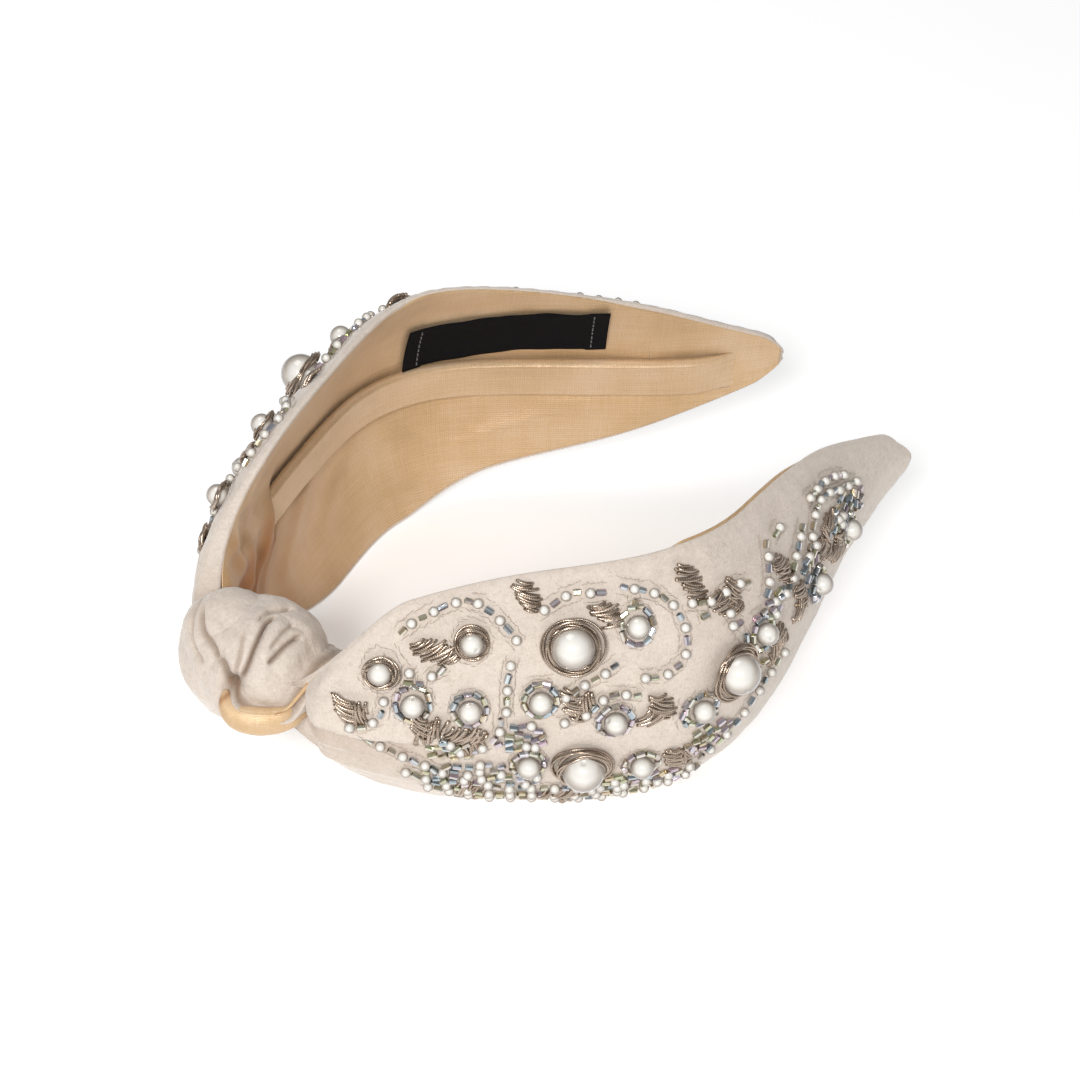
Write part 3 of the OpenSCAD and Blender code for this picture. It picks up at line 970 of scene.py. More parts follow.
def band_half(side):
    """Half of the springy plastic band, from the crown to its end, along the arm's curve."""
    rows = []
    for s in spaced(0, BAND_END, 79):
        half = 3.8 * (1 - 0.35 * ease((s - BAND_END + 10) / 10))
        section = [(half, -0.4), (half, -1.8), (half - 0.4, -1.9)]
        section += [(-z, n) for z, n in reversed(section)]
        rows.append([arm_point(side, s, z, n) for z, n in section])
    obj = closed_skin(f"spring_band_{side}", rows)
    smooth(obj, 40)
    obj.data.materials.append(material("plastic"))
    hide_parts("spring_band")
    arm_point(side, 14, 0, 0)
    arm_point(side, 22, 0, 0)
    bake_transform(obj)
    return obj


# Knot: places are in millimetres from its middle. Each crease has a depth, a width and the points it runs through
CREASES = [
    (1.6, 0.42, [(-6, 9, 10), (-10, 4, 9.5), (-11, -0.5, 9.5), (-11.5, -3.5, 8.5)]),
    (1.6, 0.42, [(-11.5, -3, 9), (-11.5, -5.5, 8.5), (-12, -7.5, 7), (-12, -9, 5.5)]),
    (1.0, 0.42, [(-4.5, -2.5, 13), (-8, -6.5, 10.5), (-10, -8, 8.5), (-11.5, -9, 6)]),
    (2.3, 0.45, [(3, -3, 13), (0, -4, 13.5), (-3, -6, 12.5), (-6, -8, 11), (-8.5, -9.5, 9), (-11, -10, 6.5)]),
    (1.8, 0.4, [(5.5, -8.5, 11), (1, -10, 11.5), (-2, -11, 11), (-4.5, -11.5, 10)]),
    (0.9, 0.42, [(5, -6, 12), (1.5, -7.5, 12.5), (-3, -9.5, 11.5)]),
    (1.0, 0.5, [(-3, 12, 9), (-8, 9, 8.5), (-11, 4, 6), (-12.5, -1, 5.5)]),
    (1.0, 0.5, [(8, -1, 11.5), (5, -1.5, 12.5), (2, -1.5, 13), (-2, -3, 13)]),
]
DIMPLE = Vector((-12, -9, 5.5))
# The wrap's free edge: under its front from the dimple, then up beside the arm
HEM = [(-12, -9.5, 5.5), (-11.7, -11.8, 3.2), (-10, -14, 1.4), (-6.6, -15.8, 0.6), (-3.6, -16.3, 1.4),
       (-1.2, -16.2, 3.6), (2.2, -15, 6.2), (6, -13.5, 7), (12, -10.5, 4.5)]
# The thin line of lining that follows the free edge, and the wider roll of it that shows below
PIPING = [(-6.4, -16.5, 2.4), (-3.7, -17, 3.5), (-1.6, -17, 5.1), (2.1, -16, 6.7), (6.4, -14.4, 7.2),
          (12.8, -11.2, 4.6)]
TURNOUT = [(-11.4, -7.6, 4.2), (-12, -9.2, 1.8), (-11.2, -11.2, 0.2), (-9.2, -13, -0.4), (-6.4, -14.9, -0.4),
           (-3, -16.3, 0), (0.5, -16, 0.3)]


def curve_through(points, u):
    """Point on a smooth curve through given points, u counting from the first."""
    i = min(int(u), len(points) - 2)
    t = u - i
    b, c = Vector(points[i]), Vector(points[i + 1])
    a = Vector(points[i - 1]) if i > 0 else 2 * b - c
    d = Vector(points[i + 2]) if i + 2 < len(points) else 2 * c - b
    return 0.5 * (2 * b + (c - a) * t + (2 * a - 5 * b + 4 * c - d) * t * t + (3 * b - a - 3 * c + d) * t ** 3)


def samples(points, count=40):
    return np.array([curve_through(points, (len(points) - 1) * k / count) for k in range(count + 1)])


def nearest_on(line, directions):
    """For each direction, the nearest place on a line seen from the knot's middle: distance, share and side."""
    aim = line / np.linalg.norm(line, axis=1)[:, None]
    reach = np.linalg.norm(line, axis=1).mean()
    gaps = np.linalg.norm(directions[:, None, :] - aim[None, :, :], axis=2)
    index = gaps.argmin(1)
    ahead = np.gradient(aim, axis=0)[index]
    side = np.sign((np.cross(ahead, aim[index]) * (directions - aim[index])).sum(1))
    return gaps.min(1) * reach, index / (len(line) - 1), side


def crease_relief(directions):
    """How far the knot's surface stands out or dips in each direction, and how much painted shade it gets in the
    creases and the dimple.
    """
    relief, shade = np.zeros(len(directions)), np.zeros(len(directions))
    for depth, width, points in CREASES:
        far, share, side = nearest_on(samples(points), directions)
        fade = np.clip(np.minimum(share, 1 - share) * 6 + 0.15, 0, 1)
        fade = fade * fade * (3 - 2 * fade)
        relief += depth * fade * (-np.exp(-(far / width)) + 0.24 * np.exp(-((far - 2.4) / 1.8) ** 2)
                                  + 0.1 * side * np.exp(-far / 2.0))
        # Painted shade along the floor of each crease
        shade += 0.4 * depth * fade * np.exp(-(far / 0.6) ** 2)
    dimple = np.exp(-(np.linalg.norm(directions - np.array(DIMPLE.normalized()), axis=1) / 0.12) ** 2)
    # Painted shade in the dimple as well
    return relief - 2.6 * dimple, shade + 0.8 * dimple


def pillow(name, middle, radii, turn, hem):
    """Rounded padded shape with creases, on the knot, with painted shade in them. With a hem, its surface drops away
    beyond that line, with painted shade just under the hem.
    """
    deselect()
    bpy.ops.mesh.primitive_uv_sphere_add(segments=288, ring_count=176, radius=1)
    obj = bpy.context.object
    obj.name = obj.data.name = name
    count = len(obj.data.vertices)
    points = np.empty(count * 3)
    obj.data.vertices.foreach_get("co", points)
    spin = np.array(Matrix.Rotation(math.radians(turn), 3, "Z"))
    local = (points.reshape(-1, 3) * radii) @ spin.T
    places = local + np.array(middle)
    away = places / np.linalg.norm(places, axis=1)[:, None]
    relief, shade = crease_relief(away)
    relief += [0.5 * soft_noise(*(d * 2.3)) + 0.16 * soft_noise(*(d * 7.0)) + 0.05 * soft_noise(*(d * 22))
               for d in away]
    if hem:
        far, _, side = nearest_on(samples(hem, 90), away)
        drop = np.clip(far * -side / 1.1, 0, 1)
        relief -= 1.9 * drop * drop * (3 - 2 * drop) * np.exp(-(far / 7) ** 2)
        relief += 1.9 * np.exp(-(far / 1.8) ** 2) * (side > 0)
        # Painted shade just under the hem, where the lip overhangs
        shade += 0.85 * np.exp(-((far - 0.2) / 0.7) ** 2) * (side < 0)
    places += away * relief[:, None]
    obj.data.vertices.foreach_set("co", ((places + np.array(KNOT)) * MM).ravel())
    keep_values(obj, "shade", np.minimum(shade, 1))
    obj.data.update()
    smooth(obj)
    return obj


def knot_pieces():
    """The wrap, the loop beside it, the turned-out lining and its piping."""
    wrap = pillow("knot_wrap_velvet", (0.2, -2.4, 1.3), (13, 14.8, 10.9), 12, HEM)
    finish_piece(wrap, "crown", material("velvet"), "velvet", "knot_wrap")
    lobe = pillow("knot_loop_velvet", (-2.3, 4.2, -1.1), (10.4, 12.2, 13.4), 0, None)
    finish_piece(lobe, "crown", material("velvet"), "velvet", "knot_loop")
    turnout = knot_roll("knot_lining_turnout", TURNOUT, 2.3, 3.0, 28)
    finish_piece(turnout, "crown", material("lining"), "lining", "knot_lining")
    piping = knot_roll("knot_piping", PIPING, 0.45, 0.45, 12)
    finish_piece(piping, "crown", material("lining"), "lining")


def knot_roll(name, points, thick, wide, sides):
    """Soft roll of lining along a curve on the knot, with painted shadow where it tucks in at its start."""
    rows, last, steps = [], len(points) - 1, 90
    for k in range(steps + 1):
        u = last * k / steps
        here, before = curve_through(points, u), curve_through(points, max(0, u - 0.05))
        ahead = (curve_through(points, min(last, u + 0.05)) - before).normalized()
        out = (here - ahead * here.dot(ahead)).normalized()
        across = ahead.cross(out)
        swell = max(0.08, math.sin(math.pi * (0.02 + 0.86 * k / steps))) ** 0.7
        ring = []
        for j in range(sides):
            a = math.tau * j / sides
            ripple = 1 + 0.07 * soft_noise(3 * math.cos(a), 3 * math.sin(a), k * 0.11)
            ring.append((KNOT + here + out * (thick * swell * math.cos(a) * ripple)
                         + across * (wide * swell * math.sin(a))) * MM)
        rows.append(ring)
    obj = closed_skin(name, rows)
    layer = obj.data.uv_layers.new(name="UVMap").data
    for loop in obj.data.loops:
        k, j = divmod(loop.vertex_index, sides)
        layer[loop.index].uv = (0.3 * k, 2 * wide * math.sin(math.tau * j / sides))
    # Painted shadow at the start of the roll, where it tucks in by the dimple
    keep_values(obj, "shade", [0.75 * math.exp(-((k - 7 - 4 * math.sin(math.tau * j / sides)) / 3.5) ** 2)
                    for k in range(steps + 1) for j in range(sides)])
    smooth(obj)
    return obj


# ---------------------------------------------------------------- beads and wire

def pearl_bead(diameter, segments, rings):
    """Pearl, its poles along Z pressed in a little."""
    deselect()
    bpy.ops.mesh.primitive_uv_sphere_add(segments=segments, ring_count=rings, radius=diameter / 2 * MM)
    obj = bpy.context.object
    mesh = bmesh.new()
    mesh.from_mesh(obj.data)
    mesh.verts.ensure_lookup_table()
    for pole in [v for v in mesh.verts if abs(abs(v.co.z) - diameter / 2 * MM) < 1e-7]:
        pole.co.z *= 0.82
    for vertex in mesh.verts:
        vertex.co *= 1 + 0.006 * soft_noise(*(vertex.co / MM * 1.3))
    mesh.to_mesh(obj.data)
    mesh.free()
    return obj


def cut_bead(diameter, length, sides):
    """Cut tube bead, its hole along Z, with a sunken bore and painted highlight streaks on its outer faces."""
    deselect()
    bpy.ops.mesh.primitive_cylinder_add(vertices=sides, radius=diameter / 2 * MM, depth=length * MM,
                                        end_fill_type="NGON")
    obj = bpy.context.object
    bpy.ops.object.mode_set(mode="EDIT")
    mesh = bmesh.from_edit_mesh(obj.data)
    for face in mesh.faces:
        face.select = abs(face.normal.z) > 0.9
    bmesh.update_edit_mesh(obj.data)
    bpy.ops.mesh.select_mode(type="FACE")
    bpy.ops.mesh.inset(thickness=0.08 * diameter * MM, depth=0.06 * diameter * MM, use_individual=True)
    bpy.ops.mesh.inset(thickness=0.14 * diameter * MM, depth=0, use_individual=True)
    bpy.ops.mesh.inset(thickness=0.01 * MM, depth=-0.45 * MM, use_individual=True)
    bpy.ops.object.mode_set(mode="OBJECT")
    # Painted highlight: two bright streaks on opposite sides of each bead, kept for the finish
    highlight_streaks = [max(0, math.cos(2 * math.atan2(v.co.y, v.co.x))) if v.co.xy.length > 0.4 * diameter * MM else 0
               for v in obj.data.vertices]
    keep_values(obj, "ridge", highlight_streaks)
    return obj


def clear_of(places, middle, gap):
    return all((middle - other).length > gap * MM for other in places)


def chain_beads(side):
    """Small pearls and cut beads that stand in the scrolls, without the rings round the medium pearls."""
    rings = [part[0] for part in loose_parts(f"{side}_medium_pearls")]
    pearls_here = [part[0] for part in loose_parts(f"{side}_small_pearls")]
    cut_here = [part[0] for part in loose_parts(f"{side}_cut_beads") if clear_of(rings, part[0], 4.1)]
    return pearls_here, cut_here


def chain_direction(spot, spots):
    """Angle on the face from a bead towards its nearest neighbour in the scroll."""
    _, s, z = min(((s - spot[0]) ** 2 + (z - spot[1]) ** 2, s, z) for s, z in spots if (s, z) != spot)
    return math.degrees(math.atan2(z - spot[1], s - spot[0]))


def filled_patch(side, taken, area, pitch, seed):
    """Scattered spots in an oval area of the face, clear of what is there already."""
    chance = np.random.default_rng(seed)
    at_s, at_z, half_s, half_z = area
    spots, places = [], list(taken)
    for _ in range(700):
        u, v = chance.uniform(-1, 1, 2)
        if u * u + v * v > 1:
            continue
        s, z = at_s + u * half_s, at_z + v * half_z
        here = seat(side, s, z)
        if clear_of(places, here, pitch):
            spots.append((s, z, chance.random()))
            places.append(here)
    return spots


# Oval areas of the face that are filled with loose cut beads: station, height and half of each size
PATCHES = [(56, 0.6, 5, 3.4), (49, -9.5, 12, 4), (78, -13.5, 13, 2.6), (44, -2, 4, 3), (91, -5, 5, 3.5),
           (142, 10.5, 8, 2.4), (125, 11, 4.5, 2.6), (106, 13.5, 6, 1.8), (150, 8, 3, 3)]
# Short rows of pearls and cut beads between the scrolls: stations and heights along the face
ROWS = [[(33, 15.5), (35, 13.5), (38, 12.5), (41, 13), (42.5, 15)], [(32, 8), (31.5, 5.5), (29, 3.5), (26, 3)],
        [(64, 9), (67, 11), (70, 12.5), (73, 14.5)], [(148, 14.5), (143, 17), (137, 18.5), (131, 19.5)],
        [(88.5, 22), (94, 21), (99, 21.5), (104, 20)], [(96, 18), (98, 13.5), (101, 7), (103, 5)],
        [(64, 4), (68, 5.5), (72, 9), (78, 8.5)], [(36, -9), (44, -13), (54, -16), (66, -17.5), (78, -17)],
        [(108, 14), (114, 13), (120, 16), (126, 18)]]


def row_spots(points):
    """Spots every 2 mm along a row, with the direction of the row at each."""
    spots, last, line = [], None, [(s, z, 0) for s, z in points]
    for k in range(60 * (len(points) - 1)):
        here = curve_through(line, k / 60)
        if last is None or (here - last).length >= 2:
            ahead = curve_through(line, k / 60 + 0.01) - here
            spots.append((here.x, here.y, math.degrees(math.atan2(ahead.y, ahead.x))))
            last = here
    return spots


def bead_map(side):
    """Where every bead stands on one arm: placed cut beads, loose ones and the small pearls."""
    big = [(face_spot(side, part[0]), part[2][0] / 2 / MM)
           for size in ("large", "medium") for part in loose_parts(f"{side}_{size}_pearls")]
    coiled = [face_spot(side, part[0]) for part in loose_parts(f"{side}_bullion_rings")]
    small, cut = chain_beads(side)
    spots = [face_spot(side, p) for p in small + cut]
    placed = [(s, z, chain_direction((s, z), spots)) for s, z in spots[len(small):]]
    for (s, z), radius in big:
        if min(math.hypot(s - a, z - b) for a, b in coiled) < 2:
            continue
        ring = radius + 0.75
        count = round(math.tau * ring / 1.7)
        for k in range(count):
            a = math.tau * (k + 0.3 * math.sin(s)) / count
            placed.append((s + ring * math.cos(a), z + ring * math.sin(a), math.degrees(a) + 90))
    pearl_spots = spots[:len(small)]
    fixed = [(middle, radius + 1.6) for middle, radius in big]
    fixed += [(spot, 1.7) for spot in pearl_spots] + [((s, z), 1.6) for s, z, _ in placed]
    for row in ROWS:
        for number, (s, z, angle) in enumerate(row_spots(row)):
            if all(math.hypot(s - a, z - b) > gap for (a, b), gap in fixed):
                if number % 2:
                    placed.append((s, z, angle))
                else:
                    pearl_spots.append((s, z))
    taken = [seat(side, s, z) for s, z, _ in placed] + [seat(side, s, z) for s, z in pearl_spots]
    taken += [seat(side, s + f * radius * math.cos(a), z + f * radius * math.sin(a)) for (s, z), radius in big
              for f in (0.4, 1.0, 1.35) for a in (math.tau * k / 9 for k in range(9))]
    for part in loose_parts(f"{side}_bullion_leaves"):
        s, z = face_spot(side, part[0])
        taken += [seat(side, s + off, z + off) for off in (0, 1.2, -1.2)]
    loose = []
    for number, area in enumerate(PATCHES):
        here = taken + [seat(side, s, z) for s, z, _ in loose]
        loose += filled_patch(side, here, area, 1.55, number)
    return placed, loose, pearl_spots


BEADS = {}


def beads_of(side):
    if side not in BEADS:
        BEADS[side] = bead_map(side)
    return BEADS[side]


# Diameter of the pearls of each size, how deep they sit in the pile, and their segments and rings
PEARLS = {"large": (8, 2.2, 40, 28), "medium": (4.4, 0.9, 28, 18), "small": (2, 0.3, 12, 8)}
# Diameter, length and sides of the cut beads
CUT_BEADS = [(1.25, 1.65, 8), (1.15, 1.5, 6), (1.2, 1.75, 7)]
# Share of the loose beads in the filled patches that are pearls
LOOSE_PEARLS = 0.15


def pearls(side, size):
    """All pearls of one size on one arm."""
    node = f"{side}_{size}_pearls"
    diameter, sink, segments, rings = PEARLS[size]
    chance = np.random.default_rng(11)
    spots = [face_spot(side, part[0]) for part in loose_parts(node)]
    if size == "small":
        _, loose, spots = beads_of(side)
        spots = spots + [(s, z) for s, z, pick in loose if pick < LOOSE_PEARLS]
    places = []
    for s, z in spots:
        spin = Matrix.Rotation(chance.uniform(0, 3), 4, "X") @ Matrix.Rotation(chance.uniform(0, 3), 4, "Y")
        places.append(place_on_face(side, s, z, diameter / 2 - sink) @ spin)
    obj = stamp(f"pearls_{size}_{side}", [pearl_bead(diameter, segments, rings)], places)
    return finish_piece(obj, f"{side}_arm", material("pearl"), "pearl", node)


def cut_beads(side):
    """Every cut bead on one arm, each a little out of line."""
    chance = np.random.default_rng(5)
    placed, loose, _ = beads_of(side)
    spots = placed + [(s, z, 18 + 70 * (pick - 0.6)) for s, z, pick in loose if pick >= LOOSE_PEARLS]
    places = []
    for s, z, angle in spots:
        lie = Matrix.Rotation(math.radians(90 + chance.normal(0, 5)), 4, "Y")
        grow = Matrix.Diagonal((*(0.88 + 0.2 * chance.random(2)), 0.78 + 0.2 * chance.random(), 1))
        places.append(place_on_face(side, s, z, 0.5 + 0.15 * chance.random(), angle + chance.normal(0, 10)) @ lie
                      @ Matrix.Rotation(chance.random(), 4, "Z") @ grow)
    obj = stamp(f"cut_beads_{side}", [cut_bead(*size) for size in CUT_BEADS], places, 25)
    return finish_piece(obj, f"{side}_arm", material("glass"), "cut_glass", f"{side}_cut_beads")


def coil_rows(path, radius, pitch, sides=6, per_turn=2.6):
    """Rings of points round a path for a tightly coiled wire, with the height of each on its ridge, which the finish
    also uses to paint shade in the grooves.
    """
    length = sum((path(t + 0.02) - path(t)).length for t in spaced(0, 0.98, 49))
    steps = max(6, int(length / (pitch * MM) * per_turn))
    rows, ridges = [], []
    for k in range(steps + 1):
        t = k / steps
        here = path(t)
        ahead = (path(min(1, t + 0.01)) - path(max(0, t - 0.01))).normalized()
        side = (ahead.orthogonal() if abs(ahead.z) > 0.95 else ahead.cross(Vector((0, 0, 1)))).normalized()
        up = side.cross(ahead)
        row = []
        for j in range(sides):
            a = math.tau * j / sides
            ridge = 0.5 + 0.5 * math.cos(math.tau * k / per_turn + a)
            row.append(here + (side * math.cos(a) + up * math.sin(a)) * (radius * (0.86 + 0.17 * ridge) * MM))
            ridges.append(ridge)
        rows.append(row)
    return rows, ridges


def wire_mesh(name, coils):
    """One mesh from many coils, each capped at its ends unless it closes on itself."""
    points, faces, ridges, tints = [], [], [], []
    chance = np.random.default_rng(3)
    for rows, heights, closed in coils:
        base, count, rings = len(points), len(rows[0]), len(rows)
        points += [p for row in rows for p in row]
        ridges += heights
        tints += [chance.random()] * (rings * count)
        for i in range(rings if closed else rings - 1):
            a, b = base + i * count, base + (i + 1) % rings * count
            faces += [(a + k, a + (k + 1) % count, b + (k + 1) % count, b + k) for k in range(count)]
        if not closed:
            faces.append(tuple(base + k for k in reversed(range(count))))
            faces.append(tuple(base + (rings - 1) * count + k for k in range(count)))
    obj = new_mesh(name, points, faces)
    keep_values(obj, "ridge", ridges)
    keep_values(obj, "tint", tints)
    recalculate_outwards(obj, merge=False)
    smooth(obj)
    return obj


def bullion_rings(side):
    """Loose loops of thin coiled wire laid round the largest pearls."""
    pitch = sizes().coil_pitch / MM
    chance = np.random.default_rng(23)
    coils = []
    for middle, _, spans in loose_parts(f"{side}_bullion_rings"):
        s, z = face_spot(side, middle)
        radius = spans[0] / 2 / MM - 0.65
        for k in range(6 if radius > 4 else 4):
            r = radius - 0.3 + 0.25 * k
            lean = Matrix.Rotation(chance.normal(0, 0.07), 4, "X") @ Matrix.Rotation(chance.normal(0, 0.07), 4, "Y")
            place = place_on_face(side, s + chance.normal(0, 0.18), z + chance.normal(0, 0.18),
                                  radius * (0.4 - 0.05 * k) + 0.3 * chance.random()) @ lean
            start, stretch, phase = chance.random(), chance.uniform(0.03, 0.08), chance.uniform(0, 6)

            def path(t, r=r, place=place, start=start, stretch=stretch, phase=phase):
                a = math.tau * (t + start)
                reach = r * (1 + stretch * math.sin(2 * a + phase))
                lift = 0.22 * math.sin(3 * a + phase)
                return place @ (Vector((reach * math.cos(a), reach * math.sin(a), lift)) * MM)

            rows, ridges = coil_rows(path, 0.27, pitch)
            coils.append((rows[:-1], ridges[:len(ridges) - len(rows[0])], True))
    obj = wire_mesh(f"bullion_rings_{side}", coils)
    return finish_piece(obj, f"{side}_arm", material("bullion"), "bullion", f"{side}_bullion_rings")


def bullion_leaves(side):
    """Leaves of slanting coiled-wire stitches, most of them with a second, shorter leaf at their foot."""
    pitch = sizes().coil_pitch / MM
    chance = np.random.default_rng(17)
    leaves, coils = [], []
    for number, (middle, axes, spans) in enumerate(loose_parts(f"{side}_bullion_leaves")):
        s, z = face_spot(side, middle)
        ahead = face_spot(side, middle + axes[0] * 2 * MM)
        angle = math.degrees(math.atan2(ahead[1] - z, ahead[0] - s)) % 180
        length = spans[0] / MM * 1.2
        leaves.append((s, z, angle, length))
        if number % 3 != 2:
            turn = angle + (62 if number % 2 else -58)
            foot = (s - 2.4 * math.cos(math.radians(angle)) + 2.2 * math.cos(math.radians(turn)),
                    z - 2.4 * math.sin(math.radians(angle)) + 2.2 * math.sin(math.radians(turn)))
            if edge_gap(*foot) > 3:
                leaves.append((*foot, turn, length * 0.75))
    for s, z, angle, length in leaves:
        place = place_on_face(side, s, z, 0.1, angle)
        strands = round(length * 1.75)
        for k in range(strands):
            share = (k + 0.5) / strands * 2 - 1
            half = 2.15 * (1 - share * share) ** 0.45 * chance.uniform(0.8, 1.15) + 0.35
            slant = math.radians(chance.normal(55, 9))
            base = Vector((share * length / 2 * 0.95, chance.normal(0, 0.3), 0.12 + 0.35 * chance.random()))
            tip = Vector((math.cos(slant), math.sin(slant), 0)) * half
            arch = chance.uniform(0.35, 0.8)

            def path(t, base=base, tip=tip, arch=arch, place=place):
                bow = math.sin(math.pi * t)
                sway = Vector((-tip.y, tip.x, 0)) * 0.12 * bow
                return place @ ((base + tip * (2 * t - 1) + sway + Vector((0, 0, arch * bow ** 0.6 - 0.25))) * MM)

            rows, ridges = coil_rows(path, chance.uniform(0.29, 0.38), pitch)
            coils.append((rows, ridges, False))
    obj = wire_mesh(f"bullion_leaves_{side}", coils)
    return finish_piece(obj, f"{side}_arm", material("bullion"), "bullion", f"{side}_bullion_leaves")


def outline_thread(side):
    """Fine, slightly ragged couching thread on both sides of the scrolls and round the medium pearls."""
    chance = np.random.default_rng(29)
    small, cut = chain_beads(side)
    spots = [face_spot(side, p) for p in small + cut]
    spots += [(s, z) for row in ROWS for s, z, _ in row_spots(row)]
    places = []

    def sew(s, z, angle):
        if edge_gap(s, z) > 1:
            places.append(place_on_face(side, s, z, 0.1, angle))

    for spot in spots:
        angle = chain_direction(spot, spots)
        lean = math.radians(angle)
        for edge in (-1.3, 1.3):
            for step in (-0.8, 0, 0.8):
                off = edge + chance.normal(0, 0.1)
                sew(spot[0] + step * math.cos(lean) - off * math.sin(lean),
                    spot[1] + step * math.sin(lean) + off * math.cos(lean), angle + chance.normal(0, 15))
    for part in loose_parts(f"{side}_medium_pearls"):
        s, z = face_spot(side, part[0])
        for a in (math.tau * k / 26 for k in range(26)):
            r = 3.75 + chance.normal(0, 0.12)
            sew(s + r * math.cos(a), z + r * math.sin(a), math.degrees(a) + 90 + chance.normal(0, 22))
    obj = stamp(f"outline_thread_{side}", [thread_stitch(1.1, 0.055)], places)
    return finish_piece(obj, f"{side}_arm", material("thread"), "thread", f"{side}_outline_thread")


# ---------------------------------------------------------------- label

# Station of the label's middle, and the label's size
LABEL_S = 0.655 * ARM_LEN
LABEL_LEN = 44
LABEL_W = 12


def label_mid(s):
    return 12.9 + 0.08 * (s - LABEL_S)


def woven_label():
    """Plain black woven label with both ends folded under."""
    half = LABEL_LEN / 2
    us, vs = spaced(-half, half, 66), spaced(-LABEL_W / 2, LABEL_W / 2, 18)

    def place(u, v):
        s = LABEL_S + u
        tab = ease((abs(u) - half + 4.4) / 0.5)
        lift = 0.55 + 0.35 * tab + 0.25 * (1 - tab) * (0.5 + 0.5 * soft_noise(u / 9, v / 7, 6.6))
        lift += 0.35 * ease((abs(v) - LABEL_W / 2 + 1.6) / 1.6) * soft_noise(u / 6, v, 2.0) * (1 - tab)
        droop = 0.35 * math.sin(u * 0.19 + 0.5) * (1 - tab)
        return arm_point("left", s, label_mid(s) + v * (1 + 0.05 * tab) + droop, -lift - 0.35)

    obj = cloth_grid("woven_label", us, vs, place, 0.3)
    finish_piece(obj, "left_arm", material("label"), "label", "label")
    stitch = thread_stitch(1.1, 0.16)
    places = []
    for end in (-1, 1):
        for v in spaced(-5, 5, 7):
            s = LABEL_S + end * (half - 3.2)
            on_cloth, above, below = (arm_point("left", s, label_mid(s) + v, n) for n in (-1.45, -2, 0))
            places.append(standing(on_cloth, above - below, Vector((0, 0, 1))))
    stitches = stamp("label_sewing", [stitch], places)
    finish_piece(stitches, "left_arm", material("dark_thread"), "thread_dark", "label_stitches")
    return [obj, stitches]


# ---------------------------------------------------------------- stage

def studio():
    """Pale floor, soft lights and the camera."""
    deselect()
    bpy.ops.mesh.primitive_plane_add(size=6)
    floor = bpy.context.object
    floor.name = "floor"
    floor.data.materials.append(material("floor"))

    def soft_box(name, place, size, watts):
        bpy.ops.object.light_add(type="AREA", location=place)
        lamp = bpy.context.object
        lamp.name = name
        lamp.data.size = size
        lamp.data.energy = watts
        lamp.rotation_euler = (Vector((0, 0, 0.03)) - Vector(place)).to_track_quat("-Z", "Y").to_euler()

    soft_box("key_light", (-0.7, -0.6, 0.8), 0.28, 8.6)
    soft_box("fill_light", (-0.42, -0.92, 0.85), 0.24, 2.7)
    soft_box("top_light", (-0.1, 0.45, 1.1), 0.6, 3.2)
    world = bpy.data.worlds.new("studio")
    world.use_nodes = True
    background = world.node_tree.nodes["Background"]
    background.inputs[0].default_value = (1, 1, 1, 1)
    background.inputs[1].default_value = 0.28
    bpy.context.scene.world = world
    bpy.context.scene.view_settings.view_transform = "Standard"

    azimuth, elevation, roll = (math.radians(a) for a in (-36.5, 41.4, 3.1))
    target = Vector((CROWN_X + 60, 0, MIDDLE_Z)) * MM
    look = Vector((-math.sin(azimuth) * math.cos(elevation), math.cos(azimuth) * math.cos(elevation),
                   -math.sin(elevation)))
    right = Vector((math.cos(azimuth), math.sin(azimuth), 0))
    up = right.cross(look)
    right, up = right * math.cos(roll) + up * math.sin(roll), up * math.cos(roll) - right * math.sin(roll)
    distance = 0.539
    camera = bpy.data.objects.new("camera", bpy.data.cameras.new("camera"))
    bpy.context.scene.collection.objects.link(camera)
    camera.matrix_world = (Matrix.Translation(target - look * distance)
                           @ Matrix((right, up, -look)).transposed().to_4x4())
    camera.data.lens = 91.5
    camera.data.shift_x, camera.data.shift_y = 0.0304, 0.007
    camera.data.clip_start = 0.01
    bpy.context.scene.camera = camera


# ---------------------------------------------------------------- operators

class HEADBAND_OT_stage(bpy.types.Operator):
    """Add the floor, the lights and the camera"""
    bl_idname = "headband.stage"
    bl_label = "Stage"

    def execute(self, context):
        studio()
        return {"FINISHED"}


class HEADBAND_OT_velvet(bpy.types.Operator):
    """Add the padded velvet face of both arms"""
    bl_idname = "headband.velvet"
    bl_label = "Velvet arms"

    def execute(self, context):
        for side in SIDES:
            velvet_arm(side)
        return {"FINISHED"}


class HEADBAND_OT_lining(bpy.types.Operator):
    """Add the satin lining, the tape and its stitches"""
    bl_idname = "headband.lining"
    bl_label = "Lining and tape"

    def execute(self, context):
        for side in SIDES:
            lining_arm(side)
            tape_arm(side)
            tape_stitches(side)
        return {"FINISHED"}


class HEADBAND_OT_inside(bpy.types.Operator):
    """Add the plastic band and finish the foam inside"""
    bl_idname = "headband.inside"
    bl_label = "Band and foam"

    def execute(self, context):
        for side in SIDES:
            band_half(side)
        for node in ("left_padding", "right_padding", "knot_core"):
            frame["nodes"][node].data.materials.clear()
            frame["nodes"][node].data.materials.append(material("foam"))
        return {"FINISHED"}


class HEADBAND_OT_knot(bpy.types.Operator):
    """Add the knot"""
    bl_idname = "headband.knot"
    bl_label = "Knot"

    def execute(self, context):
        knot_pieces()
        return {"FINISHED"}


class HEADBAND_OT_pearls(bpy.types.Operator):
    """Add the pearls"""
    bl_idname = "headband.pearls"
    bl_label = "Pearls"

    def execute(self, context):
        for side in SIDES:
            for size in PEARLS:
                pearls(side, size)
        return {"FINISHED"}


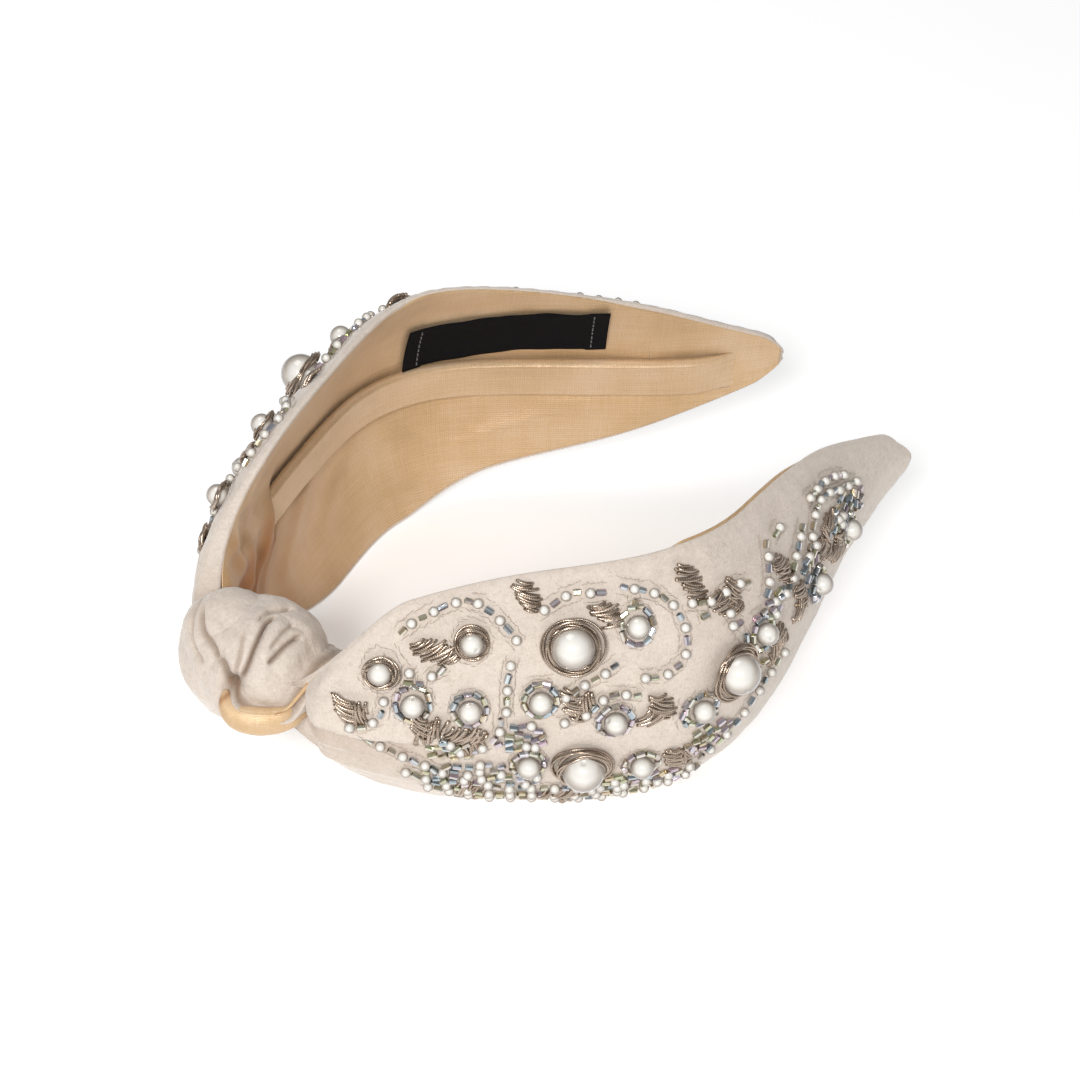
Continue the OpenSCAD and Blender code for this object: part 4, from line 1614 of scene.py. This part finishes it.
class HEADBAND_OT_cut_beads(bpy.types.Operator):
    """Add the cut glass beads"""
    bl_idname = "headband.cut_beads"
    bl_label = "Cut beads"

    def execute(self, context):
        for side in SIDES:
            cut_beads(side)
        return {"FINISHED"}


class HEADBAND_OT_bullion(bpy.types.Operator):
    """Add the rings and leaves of coiled wire"""
    bl_idname = "headband.bullion"
    bl_label = "Coiled wire"

    def execute(self, context):
        for side in SIDES:
            bullion_rings(side)
            bullion_leaves(side)
        return {"FINISHED"}


class HEADBAND_OT_thread(bpy.types.Operator):
    """Add the outline stitches"""
    bl_idname = "headband.thread"
    bl_label = "Outline thread"

    def execute(self, context):
        for side in SIDES:
            outline_thread(side)
        return {"FINISHED"}


class HEADBAND_OT_label(bpy.types.Operator):
    """Add the woven label and its sewing"""
    bl_idname = "headband.label"
    bl_label = "Label"

    def execute(self, context):
        woven_label()
        return {"FINISHED"}


OPERATORS = (HEADBAND_OT_stage, HEADBAND_OT_velvet, HEADBAND_OT_lining, HEADBAND_OT_inside, HEADBAND_OT_knot,
             HEADBAND_OT_pearls, HEADBAND_OT_cut_beads, HEADBAND_OT_bullion, HEADBAND_OT_thread, HEADBAND_OT_label)


class HEADBAND_PT_panel(bpy.types.Panel):
    """Lists the sizes, the colours and the pieces of the headband"""
    bl_idname = "HEADBAND_PT_panel"
    bl_label = "Headband"
    bl_space_type = "VIEW_3D"
    bl_region_type = "UI"
    bl_category = "Headband"

    def draw(self, context):
        for group in (context.scene.headband_sizes, context.scene.headband_colors):
            for name in group.__annotations__:
                self.layout.prop(group, name)
        for operator in OPERATORS:
            self.layout.operator(operator.bl_idname)


CLASSES = (HeadbandSizes, HeadbandColors, *OPERATORS, HEADBAND_PT_panel)


def register():
    for cls in CLASSES:
        bpy.utils.register_class(cls)
    bpy.types.Scene.headband_sizes = bpy.props.PointerProperty(type=HeadbandSizes)
    bpy.types.Scene.headband_colors = bpy.props.PointerProperty(type=HeadbandColors)


def unregister():
    del bpy.types.Scene.headband_colors
    del bpy.types.Scene.headband_sizes
    for cls in reversed(CLASSES):
        bpy.utils.unregister_class(cls)


def main():
    register()
    bpy.ops.headband.stage()
    bpy.ops.headband.velvet()
    bpy.ops.headband.lining()
    bpy.ops.headband.inside()
    bpy.ops.headband.knot()
    bpy.ops.headband.pearls()
    bpy.ops.headband.cut_beads()
    bpy.ops.headband.bullion()
    bpy.ops.headband.thread()
    bpy.ops.headband.label()


if __name__ == "__main__":
    main()
